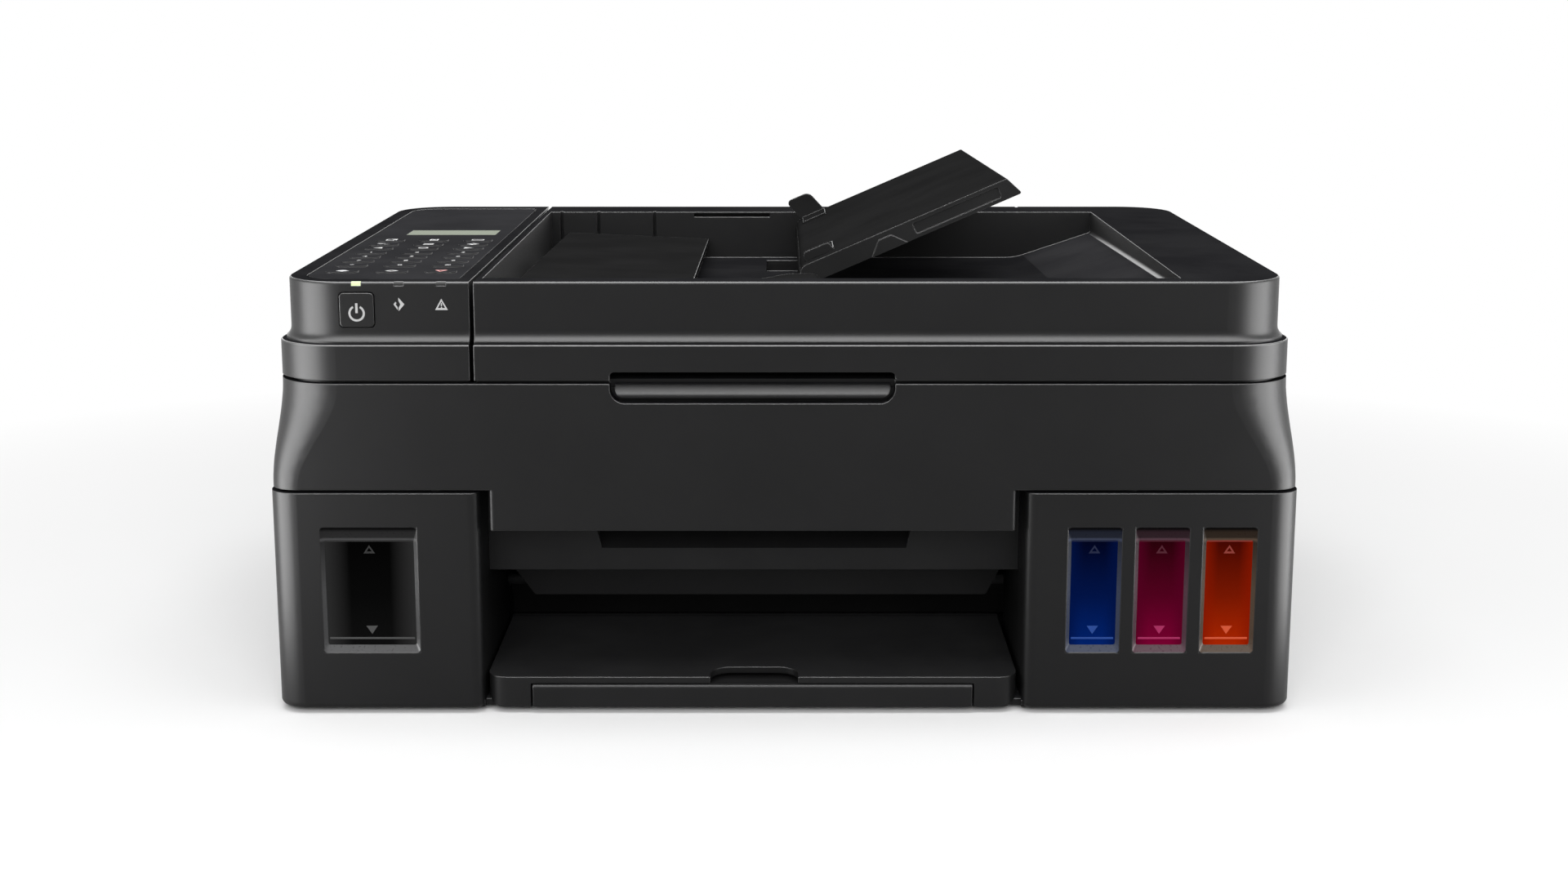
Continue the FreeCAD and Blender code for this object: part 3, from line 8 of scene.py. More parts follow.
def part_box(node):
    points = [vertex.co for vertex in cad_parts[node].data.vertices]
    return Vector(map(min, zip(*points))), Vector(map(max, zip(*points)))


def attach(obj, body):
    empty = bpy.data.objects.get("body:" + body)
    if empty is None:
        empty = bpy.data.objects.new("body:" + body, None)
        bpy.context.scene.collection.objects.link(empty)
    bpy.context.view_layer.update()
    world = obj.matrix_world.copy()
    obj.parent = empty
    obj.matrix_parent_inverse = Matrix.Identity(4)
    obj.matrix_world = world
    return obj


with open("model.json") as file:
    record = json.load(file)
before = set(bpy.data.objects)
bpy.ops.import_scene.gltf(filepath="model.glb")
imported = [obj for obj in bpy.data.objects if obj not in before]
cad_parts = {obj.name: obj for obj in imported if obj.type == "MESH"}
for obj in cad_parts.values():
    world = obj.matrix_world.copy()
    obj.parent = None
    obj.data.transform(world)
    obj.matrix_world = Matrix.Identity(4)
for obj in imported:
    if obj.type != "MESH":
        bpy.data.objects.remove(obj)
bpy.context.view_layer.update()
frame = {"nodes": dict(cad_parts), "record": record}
MM = 0.001

# Places read from the frame, in metres
CASE_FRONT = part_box("left_case")[0].y
RIM_LOW, RIM_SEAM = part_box("panel_case")
COVER_LOW, COVER_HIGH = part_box("cover_shell")
FILM_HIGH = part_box("key_sheet")[1]
BUTTON_LOW, BUTTON_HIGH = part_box("power_button")
LAMPS_LOW, LAMPS_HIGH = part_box("lamp_lenses")

# Operation panel, in millimetres, with the slope of its top in radians
LID_SLOPE = math.radians(1.3)
KEY_RISE = 0.6
KEY_COLUMNS = (-193.5, -172.0, -150.5)
KEY_ROWS = (-128.0, -108.0, -93.0, -78.0, -63.0, -46.0, -31.0, -14.0)
DIGIT_SIZE = 4.4
LENS_COUNT = 3
LENS_WIDTH = 4.0
SIGN_RISE = 179.4
PRINT_PROUD = 0.03

# Step and rim around the lids, in millimetres
STEP_INSET = 4.2
STEP_HEIGHT = 162.5
LID_CORNER = 27.0
RIM_CORNER = 29.0
RIM_EDGE = 0.7
TRIM_REAR = 120.0

# Hollow moulding on the step, in millimetres, with its reach in degrees
COVE_RADIUS = 5.0
COVE_REACH = 55.0
COVE_RISE = 0.4
COVE_ROOT = 1.6
COVE_PROUD = 0.02
COVE_FOOT = 0.01
COVE_ROOT_DEPTH = 0.12
COVE_BACK_DEPTH = 0.4

# Skin on the rim's edge: radii as shares of the edge's own, and its arc in degrees
SKIN_OUTER = 1.06
SKIN_INNER = 0.8
SKIN_START = 85.0
SKIN_STOP = 5.0

# Bend, in degrees, above which the trim around the lids shows a sharp crease
TRIM_CREASE = 40.0

# Ink windows, in millimetres
WINDOW_LOW = 27.4
WINDOW_HIGH = 83.6
WINDOW_MARGIN = 2.2
WINDOW_CORNER = 1.9
BEVEL_SIDE = 1.7
BEVEL_BOTTOM = 3.4
BEVEL_TOP = 6.0
PANE_CORNER = 0.9
PANE_GAP = 0.02
LINING_THICKNESS = 0.12
PLUG_SINK = 0.004

# Level marks on the panes, in millimetres; places are below the pane's top or above its bottom
LEVEL_WIDTH = 5.0
LEVEL_HEIGHT = 3.7
LEVEL_LINE = 0.7
FULL_MARK_DROP = 4.0
LOW_MARK_RISE = 6.7
LOW_LINE_RISE = 3.0
LOW_LINE_MARGIN = 1.6
LOW_LINE_HEIGHT = 0.9
TOP_LINE_DROP = 0.35
TOP_LINE_MARGIN = 0.6
TOP_LINE_HEIGHT = 0.5

# How much smaller and lower than a triangle the hole in its frame is, in widths of the frame's line
FRAME_SHRINK = 2.9
FRAME_SINK = 0.24

# Limits of most values of a noise, narrow and wide, and of a share
MIDDLE = (0.3, 0.7)
MOST = (0.2, 0.8)
SHARE = (0.0, 1.0)

# Upward part of the normal between which a face passes from the gloss of the sides to that of the tops,
# and to their painted light
TOP_LEAN = (0.88, 0.95)

# Agreement of the rounded normal with the face's own between which a face passes to an edge
EDGE_TURN = (0.98, 0.82)

# Camera of the photograph, in metres, degrees and millimetres
CAMERA_PLACE = (-0.0002, -1.037, 0.291)
CAMERA_PITCH = 79.0
CAMERA_LENS = 47.8

# Floor: its side, and the distances over which its lit colour passes to plain white, in metres
FLOOR_SIZE = 12.0
FLOOR_FADE = (0.3, 0.8)

# Strength of the light that the surroundings give
SURROUND_FILL = 0.5


# Node helpers

def feed(tree, socket, value):
    """Link another node's output to an input, or set a constant on it."""
    if isinstance(value, bpy.types.NodeSocket):
        tree.links.new(value, socket)
    else:
        socket.default_value = value


def set_sockets(tree, node, **values):
    """Feed a node's inputs by name, with underscores for spaces."""
    for name, value in values.items():
        feed(tree, node.inputs[name.replace("_", " ")], value)


def add_node(tree, kind, **values):
    node = tree.nodes.new("ShaderNode" + kind)
    set_sockets(tree, node, **values)
    return node


def new_material(name):
    """Material, with its node tree and its shader."""
    material = bpy.data.materials.new(name)
    material.use_nodes = True
    tree = material.node_tree
    return material, tree, tree.nodes["Principled BSDF"]


def coordinates(tree, stretch=(1, 1, 1)):
    """Places in the object's own space, stretched along its axes."""
    place = add_node(tree, "TexCoord")
    return add_node(tree, "Mapping", Vector=place.outputs["Object"], Scale=stretch).outputs["Vector"]


def noise(tree, vector, scale, detail=2.0):
    return add_node(tree, "TexNoise", Vector=vector, Scale=scale, Detail=detail).outputs["Fac"]


def ramp(tree, factor, *stops):
    """Colour ramp through (position, colour) stops."""
    node = add_node(tree, "ValToRGB", Fac=factor)
    elements = node.color_ramp.elements
    while len(elements) < len(stops):
        elements.new(0.5)
    for element, (position, colour) in zip(elements, stops):
        element.position = position
        element.color = (*colour, 1.0)
    return node.outputs["Color"]


def two_tone(tree, factor, limits, first, second):
    """One colour below the limits, another above them, and a passage between."""
    return ramp(tree, factor, (limits[0], first), (limits[1], second))


def spread(tree, factor, source, target):
    """Map a range of values to another one, held at its ends."""
    node = add_node(tree, "MapRange", Value=factor, From_Min=source[0], From_Max=source[1],
                    To_Min=target[0], To_Max=target[1])
    return node.outputs["Result"]


def calculate(tree, operation, first, second=0.0):
    """Number worked out from two numbers."""
    node = tree.nodes.new("ShaderNodeMath")
    node.operation = operation
    for socket, value in zip(node.inputs, (first, second)):
        feed(tree, socket, value)
    return node.outputs["Value"]


def measure(tree, operation, *vectors):
    """Number worked out from vectors."""
    node = tree.nodes.new("ShaderNodeVectorMath")
    node.operation = operation
    for socket, vector in zip(node.inputs, vectors):
        feed(tree, socket, vector)
    return node.outputs["Value"]


def blend(tree, factor, first, second):
    """Mix of two colours."""
    node = tree.nodes.new("ShaderNodeMix")
    node.data_type = "RGBA"
    set_sockets(tree, node, Factor=factor, A=first, B=second)
    return node.outputs["Result"]


def axis_of(tree, vector, axis):
    return add_node(tree, "SeparateXYZ", Vector=vector).outputs[axis]


def soft_edges(tree, radius):
    """Normal of edges that are broken by a small radius."""
    node = add_node(tree, "Bevel", Radius=radius)
    node.samples = 4
    return node.outputs["Normal"]


def edge_share(tree, rounded):
    """One on edges, where the rounded normal leaves the face's own, and none on faces."""
    plain = add_node(tree, "NewGeometry").outputs["Normal"]
    return spread(tree, measure(tree, "DOT_PRODUCT", rounded, plain), EDGE_TURN, SHARE)


def top_share(tree):
    """One on faces that look up, and none on the others."""
    normal = add_node(tree, "TexCoord").outputs["Normal"]
    return spread(tree, axis_of(tree, normal, "Z"), TOP_LEAN, SHARE)


def bump(tree, height, depth, strength, **base):
    """Normal of a raised grain, on the face's own normal unless Normal gives another one."""
    node = add_node(tree, "Bump", Height=height, Distance=depth, Strength=strength, **base)
    return node.outputs["Normal"]


def grey(level, blue=0.0):
    """Grey with a little more blue, if any."""
    return level, level, level + blue


def scaled(colour, gain):
    return tuple(gain * part for part in colour)


# Materials

def moulded_plastic(name, dark, light, rough, edge, specular=0.22, top_light_gain=None, edge_gloss=None):
    """Two close shades in soft clouds, a fine grain, and edges broken by a radius in millimetres.

    Faces that look up are painted paler by a given gain, as painted light, and turn matte. With an edge
    gloss, edges shine by it.
    """
    material, tree, shader = new_material(name)
    vector = coordinates(tree)
    clouds = noise(tree, vector, scale=28.0, detail=3.0)
    cloud_limits = (0.35, 0.65)
    grain = noise(tree, vector, scale=2600.0)
    rounded = soft_edges(tree, edge * MM)
    colour = two_tone(tree, clouds, cloud_limits, dark, light)
    roughness = spread(tree, grain, MIDDLE, rough)
    top, gloss = 0.0, specular
    if top_light_gain is not None:
        top = top_share(tree)
        # Painted light on faces that look up: a paler copy of the two shades
        painted_top_light = two_tone(tree, clouds, cloud_limits, scaled(dark, top_light_gain), scaled(light, top_light_gain))
        colour = blend(tree, top, colour, painted_top_light)
        roughness = calculate(tree, "MAXIMUM", roughness, top)
        gloss = spread(tree, top, SHARE, (specular, 0.0))
    if edge_gloss is not None:
        shine = calculate(tree, "SUBTRACT", edge_share(tree, rounded), top)
        gloss = calculate(tree, "MAXIMUM", calculate(tree, "MULTIPLY", shine, edge_gloss), gloss)
    # The plain level stays on the socket, under the link
    set_sockets(tree, shader, Specular_IOR_Level=specular)
    set_sockets(tree, shader, Base_Color=colour, Roughness=roughness, Specular_IOR_Level=gloss,
                Normal=bump(tree, grain, depth=0.04 * MM, strength=0.35, Normal=rounded))
    return material


def rubber(name, colour):
    material, tree, shader = new_material(name)
    vector = coordinates(tree)
    clouds = noise(tree, vector, scale=220.0, detail=4.0)
    grain = noise(tree, vector, scale=1500.0)
    set_sockets(tree, shader, Base_Color=two_tone(tree, clouds, MIDDLE, scaled(colour, 0.7), colour),
                Roughness=spread(tree, clouds, MOST, (0.65, 0.85)),
                Normal=bump(tree, grain, depth=0.05 * MM, strength=0.4))
    return material


def brushed_steel(name, colour):
    """Steel with fine lines along its length."""
    material, tree, shader = new_material(name)
    lines = noise(tree, coordinates(tree, stretch=(3.0, 900.0, 900.0)), scale=1.0, detail=3.0)
    set_sockets(tree, shader, Base_Color=two_tone(tree, lines, (0.25, 0.75), scaled(colour, 0.75), colour),
                Roughness=spread(tree, lines, MOST, (0.22, 0.4)), Metallic=1.0,
                Normal=bump(tree, lines, depth=0.02 * MM, strength=0.25))
    return material


def clear_glass(name):
    """Clear glass with faint smears."""
    material, tree, shader = new_material(name)
    smears = noise(tree, coordinates(tree), scale=14.0, detail=4.0)
    tint = two_tone(tree, smears, SHARE, (0.86, 0.93, 0.91), (0.9, 0.95, 0.93))
    set_sockets(tree, shader, Base_Color=tint, Roughness=spread(tree, smears, (0.4, 0.7), (0.01, 0.06)),
                Transmission_Weight=0.9, IOR=1.5)
    return material


def foam(name, colour):
    material, tree, shader = new_material(name)
    cells = noise(tree, coordinates(tree), scale=900.0, detail=3.0)
    set_sockets(tree, shader, Base_Color=two_tone(tree, cells, MIDDLE, scaled(colour, 0.88), colour),
                Roughness=0.9, Normal=bump(tree, cells, depth=0.1 * MM, strength=0.5))
    return material


def solder_mask(name):
    """Circuit board: dark green mask with paler tracks along it."""
    material, tree, shader = new_material(name)
    tracks = noise(tree, coordinates(tree, stretch=(1.0, 12.0, 1.0)), scale=60.0, detail=1.0)
    mask, track = (0.01, 0.07, 0.03), (0.03, 0.17, 0.07)
    set_sockets(tree, shader, Base_Color=ramp(tree, tracks, (0.46, mask), (0.5, track), (0.54, mask)),
                Roughness=0.35, Normal=bump(tree, tracks, depth=0.1 * MM, strength=0.3))
    return material


def up_window(tree, rise, unit):
    """How far up an ink window a rise lies: none at its lower edge, one at its upper edge."""
    return spread(tree, rise, (WINDOW_LOW * unit, WINDOW_HIGH * unit), SHARE)


def ink_tank(colour, shaded_top, lit_bottom, edge):
    """Tank with ink: darker at the top and the middle as painted shade, and paler towards the bottom and
    the sides as painted light.
    """
    material, tree, shader = new_material("ink_" + colour)
    low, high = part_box("ink_tank_" + colour)
    place = coordinates(tree)
    upper_share, side_start, side_share = 0.6, 0.45, 0.75
    between = tuple(upper_share * a + (1 - upper_share) * b for a, b in zip(shaded_top, lit_bottom))
    height = up_window(tree, axis_of(tree, place, "Z"), MM)
    # Painted shade at the top, passing to painted light at the bottom
    painted_light_by_height = ramp(tree, height, (0.05, lit_bottom), (0.45, between), (0.95, shaded_top))
    middle = (low.x + high.x) / 2
    half = (high.x - low.x) / 2 - (WINDOW_MARGIN + BEVEL_SIDE) * MM
    across = calculate(tree, "ABSOLUTE", calculate(tree, "SUBTRACT", axis_of(tree, place, "X"), middle))
    # Painted light towards the sides of the window
    side = spread(tree, across, (side_start * half, half), (0.0, side_share))
    ripple = noise(tree, place, scale=90.0)
    set_sockets(tree, shader, Base_Color=blend(tree, side, painted_light_by_height, (*edge, 1.0)),
                Roughness=spread(tree, ripple, MIDDLE, (0.16, 0.24)), Specular_IOR_Level=0.008)
    return material


def level_ink(colour, shaded_top, lit_bottom):
    """Moulded level marks, which take on the ink behind them with its painted shade above and painted
    light below; they are drawn in millimetres.
    """
    material, tree, shader = new_material("tint_" + colour)
    height = up_window(tree, axis_of(tree, coordinates(tree), "Y"), 1.0)
    set_sockets(tree, shader, Base_Color=two_tone(tree, height, MOST, lit_bottom, shaded_top),
                Roughness=0.5, Specular_IOR_Level=0.1)
    return material


def window_lining(colour, lit_colour):
    """Lining of an ink window: pale below as painted light, dim above as painted shade with a painted
    highlight line, and black under its upper edge as a painted shadow.
    """
    material, tree, shader = new_material("lining_" + colour)
    place = coordinates(tree)
    height = up_window(tree, axis_of(tree, place, "Z"), MM)
    # Painted shade and painted shadow, as darker copies of the lit colour
    painted_shade, dark = scaled(lit_colour, 0.3), scaled(lit_colour, 0.02)
    # The painted highlight line among the painted shade lies along the top of the pane, and the painted
    # shadow lies under the upper edge
    shades = ramp(tree, height, (0.5, lit_colour), (0.88, painted_shade), (0.893, lit_colour), (0.905, lit_colour),
                  (0.915, painted_shade), (0.96, painted_shade), (0.985, dark))
    gloss_below = spread(tree, height, (0.05, 0.12), (0.26, 0.06))
    gloss_above = spread(tree, height, (0.6, 0.95), (0.26, 0.03))
    grain = noise(tree, place, scale=900.0)
    set_sockets(tree, shader, Base_Color=shades, Roughness=spread(tree, grain, MIDDLE, (0.26, 0.34)),
                Specular_IOR_Level=calculate(tree, "MINIMUM", gloss_below, gloss_above))
    return material


def lamp_lens(name, lit_below, glow, dull):
    """Row of frosted lenses, of which those left of a place are lit."""
    material, tree, shader = new_material(name)
    place = coordinates(tree)
    frost = noise(tree, place, scale=800.0)
    set_sockets(tree, shader, Base_Color=two_tone(tree, frost, MOST, dull, scaled(dull, 1.4)),
                Emission_Strength=calculate(tree, "LESS_THAN", axis_of(tree, place, "X"), lit_below),
                Emission_Color=(*glow, 1.0), Roughness=0.5, Specular_IOR_Level=0.06)
    return material


def display_glass(name):
    """Pale liquid-crystal display with faint character cells."""
    material, tree, shader = new_material(name)
    cells = add_node(tree, "TexBrick", Vector=coordinates(tree), Scale=330.0, Mortar_Size=0.04,
                     Color1=(0.35, 0.38, 0.31, 1.0), Color2=(0.36, 0.39, 0.32, 1.0),
                     Mortar=(0.30, 0.33, 0.27, 1.0))
    cells.offset = 0.0
    set_sockets(tree, shader, Base_Color=cells.outputs["Color"], Roughness=0.3, Specular_IOR_Level=0.0)
    return material


def print_ink(name, colour):
    """Printed mark with a slightly uneven coat."""
    material, tree, shader = new_material(name)
    coat = noise(tree, coordinates(tree), scale=1800.0)
    set_sockets(tree, shader, Base_Color=two_tone(tree, coat, MIDDLE, scaled(colour, 0.85), colour),
                Roughness=0.5, Specular_IOR_Level=0.2)
    return material


CASE_SHADES = (grey(0.002, 0.0002), grey(0.0028, 0.0002))
INNER_SHADES = (grey(0.006, 0.0002), grey(0.0075, 0.0002))
SATIN = (0.36, 0.46)
case_plastic = moulded_plastic("case_plastic", *CASE_SHADES, rough=SATIN, edge=0.7, specular=0.175,
                               top_light_gain=8.0, edge_gloss=0.5)
edge_plastic = moulded_plastic("edge_plastic", *CASE_SHADES, rough=SATIN, edge=0.3, specular=0.4)
plug_plastic = moulded_plastic("plug_plastic", *CASE_SHADES, rough=SATIN, edge=0.0, specular=0.175)
tray_plastic = moulded_plastic("tray_plastic", grey(0.016, 0.0002), grey(0.02, 0.0002), rough=(0.7, 0.8),
                               edge=0.7, specular=0.0, edge_gloss=0.45)
exit_plastic = moulded_plastic("exit_plastic", *INNER_SHADES, rough=SATIN, edge=0.9, specular=0.13,
                               top_light_gain=3.0, edge_gloss=0.4)
legend_white = print_ink("legend_white", grey(0.4))
legend_grey = print_ink("legend_grey", grey(0.25, 0.01))
legend_red = print_ink("legend_red", (0.42, 0.12, 0.11))

SLOT_MATERIALS = {
    "case_plastic": case_plastic,
    "inner_plastic": moulded_plastic("inner_plastic", *INNER_SHADES, rough=(0.5, 0.6), edge=0.4,
                                     specular=0.12),
    "panel_film": moulded_plastic("panel_film", grey(0.005, 0.0004), grey(0.0065, 0.0005),
                                  rough=(0.42, 0.5), edge=0.3, top_light_gain=6.0),
    "gear_plastic": moulded_plastic("gear_plastic", (0.5, 0.49, 0.45), (0.58, 0.57, 0.53),
                                    rough=(0.4, 0.5), edge=0.3),
    "connector": moulded_plastic("connector", grey(0.012, 0.001), grey(0.018, 0.001),
                                 rough=(0.4, 0.5), edge=0.2),
    "supply_case": moulded_plastic("supply_case", grey(0.02), grey(0.028), rough=(0.5, 0.6), edge=0.4),
    "foot_rubber": rubber("foot_rubber", grey(0.02)),
    "roller_rubber": rubber("roller_rubber", grey(0.03, 0.001)),
    "cap_rubber": rubber("cap_rubber", grey(0.035, 0.003)),
    "rail_steel": brushed_steel("rail_steel", (0.55, 0.56, 0.57)),
    "scan_glass": clear_glass("scan_glass"),
    "pad_foam": foam("pad_foam", (0.8, 0.8, 0.78)),
    "board": solder_mask("board"),
    "display": display_glass("display"),
    "lamp": lamp_lens("lamp", LAMPS_LOW.x + 2 * LENS_WIDTH * MM, glow=(0.86, 1.0, 0.55), dull=grey(0.02)),
}

# Colours of each ink at the top, at the bottom and at the sides of its window: painted shade at the top
# and painted light at the bottom and the sides
INK_COLOURS = {
    "black": (grey(0.0002), grey(0.003), grey(0.022)),
    "cyan": ((0.0, 0.0001, 0.003), (0.0, 0.0105, 0.1), (0.0, 0.004, 0.04)),
    "magenta": ((0.008, 0.0, 0.0005), (0.127, 0.0, 0.02), (0.06, 0.0, 0.01)),
    "yellow": ((0.025, 0.0005, 0.0), (0.275, 0.013, 0.0), (0.17, 0.006, 0.0)),
}

# Colours of each ink's level marks at the top and at the bottom, darker above as painted shade and paler
# below as painted light
LEVEL_COLOURS = {
    "black": (grey(0.014), grey(0.045)),
    "cyan": ((0.006, 0.009, 0.031), (0.012, 0.043, 0.2)),
    "magenta": ((0.047, 0.0055, 0.0125), (0.26, 0.015, 0.073)),
    "yellow": ((0.17, 0.024, 0.017), (0.45, 0.06, 0.021)),
}

# Colour of each window's lining as painted light, of which its painted shade and shadow are darker copies
LINING_COLOURS = {
    "black": grey(0.045, 0.001),
    "cyan": (0.026, 0.032, 0.055),
    "magenta": (0.055, 0.026, 0.036),
    "yellow": (0.055, 0.036, 0.024),
}

for colour, shades in INK_COLOURS.items():
    SLOT_MATERIALS["ink_" + colour] = ink_tank(colour, *shades)
LEVEL_MATERIALS = {colour: level_ink(colour, *shades) for colour, shades in LEVEL_COLOURS.items()}
LINING_MATERIALS = {colour: window_lining(colour, lit_colour) for colour, lit_colour in LINING_COLOURS.items()}

# Sub-parts that differ from the material of their slot
NODE_MATERIALS = {
    "power_button": case_plastic,
    "document_tray": tray_plastic,
    "document_guide_front": tray_plastic,
    "document_guide_rear": tray_plastic,
    "adf_guide": tray_plastic,
    "output_tray": exit_plastic,
    "output_support": exit_plastic,
}
slot_of = {part["node"]: part["material_slot"] for part in frame["record"]["subparts"]}
for node, thing in frame["nodes"].items():
    for holder in thing.material_slots:
        holder.material = NODE_MATERIALS.get(node, SLOT_MATERIALS[slot_of[node]])


# Outlines, as places in a plane

def arc_points(u, v, radius, start, stop, steps=24):
    """Places on an arc between two angles in degrees."""
    angles = [math.radians(start + (stop - start) * i / steps) for i in range(steps + 1)]
    return [(u + radius * math.cos(a), v + radius * math.sin(a)) for a in angles]


def arc_band(u, v, inner, outer, start, stop, steps=24):
    """Outline of a bent band between two radii."""
    return arc_points(u, v, outer, start, stop, steps) + arc_points(u, v, inner, stop, start, steps)


def ring(inner, outer):
    """Outlines of a ring about the origin and of its hole, each closed by a straight last side."""
    last = 345
    return [arc_points(0, 0, outer, 0, last), arc_points(0, 0, inner, last, 0)]


def bar(u, v, width, height):
    """Outline of a rectangle about a middle."""
    return [(u - width / 2, v - height / 2), (u + width / 2, v - height / 2),
            (u + width / 2, v + height / 2), (u - width / 2, v + height / 2)]


def triangle(v, width, height):
    """Outline of an upright triangle about a height; one with a negative height points down."""
    return [(-width / 2, v - height / 2), (width / 2, v - height / 2), (0, v + height / 2)]


def triangle_frame(v, width, height, line):
    """Outlines of a triangle and of the hole that leaves a line around it."""
    share = 1 - FRAME_SHRINK * line / min(width, abs(height))
    sink = math.copysign(FRAME_SINK * line, height)
    return [triangle(v, width, height), triangle(v - sink, width * share, height * share)[::-1]]


def rounded_corners(x0, x1, z0, z1, radius):
    """Arcs of a rectangle's four corners, counter-clockwise from the lower left one."""
    middles = ((x0 + radius, z0 + radius), (x1 - radius, z0 + radius),
               (x1 - radius, z1 - radius), (x0 + radius, z1 - radius))
    return [arc_points(x, z, radius, 180 + 90 * i, 270 + 90 * i, steps=6)
            for i, (x, z) in enumerate(middles)]


# Pieces of the scene's own

def add_piece(thing, material, body):
    bpy.context.scene.collection.objects.link(thing)
    thing.data.materials.append(material)
    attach(thing, body)


def tube(rings, closed=False):
    """Places and faces of a tube through rings of places, joined to its start or capped at its ends."""
    count = len(rings[0])
    places = [place for ring_places in rings for place in ring_places]
    faces = []
    for r in range(len(rings) if closed else len(rings) - 1):
        first, second = r * count, (r + 1) % len(rings) * count
        for i in range(count):
            k = (i + 1) % count
            faces.append((first + i, first + k, second + k, second + i))
    if not closed:
        faces += [tuple(reversed(range(count))), tuple(range(len(places) - count, len(places)))]
    return places, faces


def mesh_piece(name, places, faces, material, body, slot, crease=None):
    """Mesh with flat faces, or with smooth ones up to a crease in degrees."""
    mesh = bpy.data.meshes.new(name)
    mesh.from_pydata(places, [], faces)
    if crease is not None:
        mesh.shade_smooth()
        mesh.set_sharp_from_angle(angle=math.radians(crease))
    add_piece(bpy.data.objects.new(name, mesh), material, body)


def print_piece(name, curve, plane, material, body):
    """Thin print from a curve that is drawn in millimetres, laid on a plane."""
    curve.extrude = PRINT_PROUD
    thing = bpy.data.objects.new(name, curve)
    thing.matrix_world = plane @ Matrix.Scale(MM, 4)
    add_piece(thing, material, body)


def mark(name, outlines, plane, material, body):
    """Filled print from outlines."""
    curve = bpy.data.curves.new(name, "CURVE")
    curve.dimensions = "2D"
    curve.fill_mode = "BOTH"
    for outline in outlines:
        spline = curve.splines.new("POLY")
        spline.points.add(len(outline) - 1)
        for point, (u, v) in zip(spline.points, outline):
            point.co = (u, v, 0.0, 1.0)
        spline.use_cyclic_u = True
    print_piece(name, curve, plane, material, body)


def figure(name, text, plane, material, body):
    """Printed digit or sign of a font."""
    curve = bpy.data.curves.new(name, "FONT")
    curve.body = text
    curve.size = DIGIT_SIZE
    curve.align_x = "CENTER"
    curve.align_y = "CENTER"
    curve.resolution_u = 4
    print_piece(name, curve, plane, material, body)


def front_plane(x, y, z):
    """Plane that faces the front, through a place in metres."""
    return Matrix.Translation(Vector((x, y, z))) @ Matrix.Rotation(math.radians(90), 4, "X")


def key_plane(column, row):
    """Plane on a key of the leaning film."""
    x, y = KEY_COLUMNS[column] * MM, KEY_ROWS[row] * MM
    film_top = FILM_HIGH.z - (FILM_HIGH.y - y) * math.tan(LID_SLOPE)
    place = Vector((x, y, film_top + (KEY_RISE + PRINT_PROUD) * MM))
    return Matrix.Translation(place) @ Matrix.Rotation(LID_SLOPE, 4, "X")


# Power button and the two signs beside it

button_middle = (BUTTON_LOW + BUTTON_HIGH) / 2
button_face = front_plane(button_middle.x, BUTTON_LOW.y - PRINT_PROUD * MM, button_middle.z)
POWER_SIGN = [arc_band(0, -0.5, 2.6, 3.5, 118, 422), bar(0, 1.7, 1.0, 4.2)]
mark("power_sign", POWER_SIGN, button_face, legend_white, "power_button")


def panel_sign(name, outlines, lens):
    """Sign under the middle of a lamp's lens; the left one is lens 0."""
    lens_step = (LAMPS_HIGH.x - LAMPS_LOW.x - LENS_WIDTH * MM) / (LENS_COUNT - 1)
    x = LAMPS_LOW.x + LENS_WIDTH / 2 * MM + lens_step * lens
    plane = front_plane(x, LAMPS_LOW.y - PRINT_PROUD * MM, SIGN_RISE * MM)
    mark(name, outlines, plane, legend_white, "scanning_unit")


DATA_TIP = [(-0.2, 2.9), (-0.2, 1.5), (0.6, 0.0), (-0.2, -1.5), (-0.2, -2.9), (2.3, 0.0)]
DATA_TAIL = [(-0.6, -2.4), (-0.6, -1.2), (-1.4, 0.0), (-1.0, 0.6), (-1.5, 1.1), (-2.3, 0.0)]
ALARM_STROKE = [bar(0, -0.1, 0.5, 1.3), bar(0, -1.25, 0.5, 0.45)]
panel_sign("data_sign", [DATA_TIP, DATA_TAIL], lens=1)
panel_sign("alarm_sign", triangle_frame(0, 5.4, 4.8, 0.7) + ALARM_STROKE, lens=2)


# Trim around the lids: hollow moulding on the step and glossy skin on the rim's edge

def cove_profile():
    """Hollow with a low upright foot, as places out of the wall and above the step."""
    hollow = arc_points(COVE_PROUD + COVE_RADIUS, COVE_RISE + COVE_RADIUS, COVE_RADIUS,
                        180, 180 + COVE_REACH, steps=14)
    root = COVE_RISE + COVE_RADIUS + COVE_ROOT
    foot = [(hollow[-1][0], COVE_FOOT), (-COVE_BACK_DEPTH, COVE_FOOT), (-COVE_BACK_DEPTH, root)]
    return [(-COVE_ROOT_DEPTH, root)] + hollow + foot


def edge_profile():
    """Skin over the rounded edge of the rim, as places out of the rim's wall and above the step."""
    return arc_band(-RIM_EDGE, -RIM_EDGE, SKIN_INNER * RIM_EDGE, SKIN_OUTER * RIM_EDGE,
                    SKIN_START, SKIN_STOP, steps=8)


def corner_path(side, seam, wall, front, corner):
    """Places in plan from the seam round the corner to the rear, each with its outward direction."""
    radius = corner * MM
    x, y = wall - side * radius, front + radius
    outward = [(side * u, v) for u, v in arc_points(0, 0, 1, -90, 0, steps=20)]
    bend = [((x + radius * u, y + radius * v), (u, v)) for u, v in outward]
    path = [((seam, front), outward[0])] + bend + [((wall, TRIM_REAR * MM), outward[-1])]
    return path if side > 0 else path[::-1]


def trim(name, profile, path, material, body):
    """Profile that runs along a path."""
    rings = [[(x + dx * out * MM, y + dy * out * MM, (STEP_HEIGHT + up) * MM) for out, up in profile]
             for (x, y), (dx, dy) in path]
    mesh_piece(name, *tube(rings), material, body, "case_plastic", crease=TRIM_CREASE)


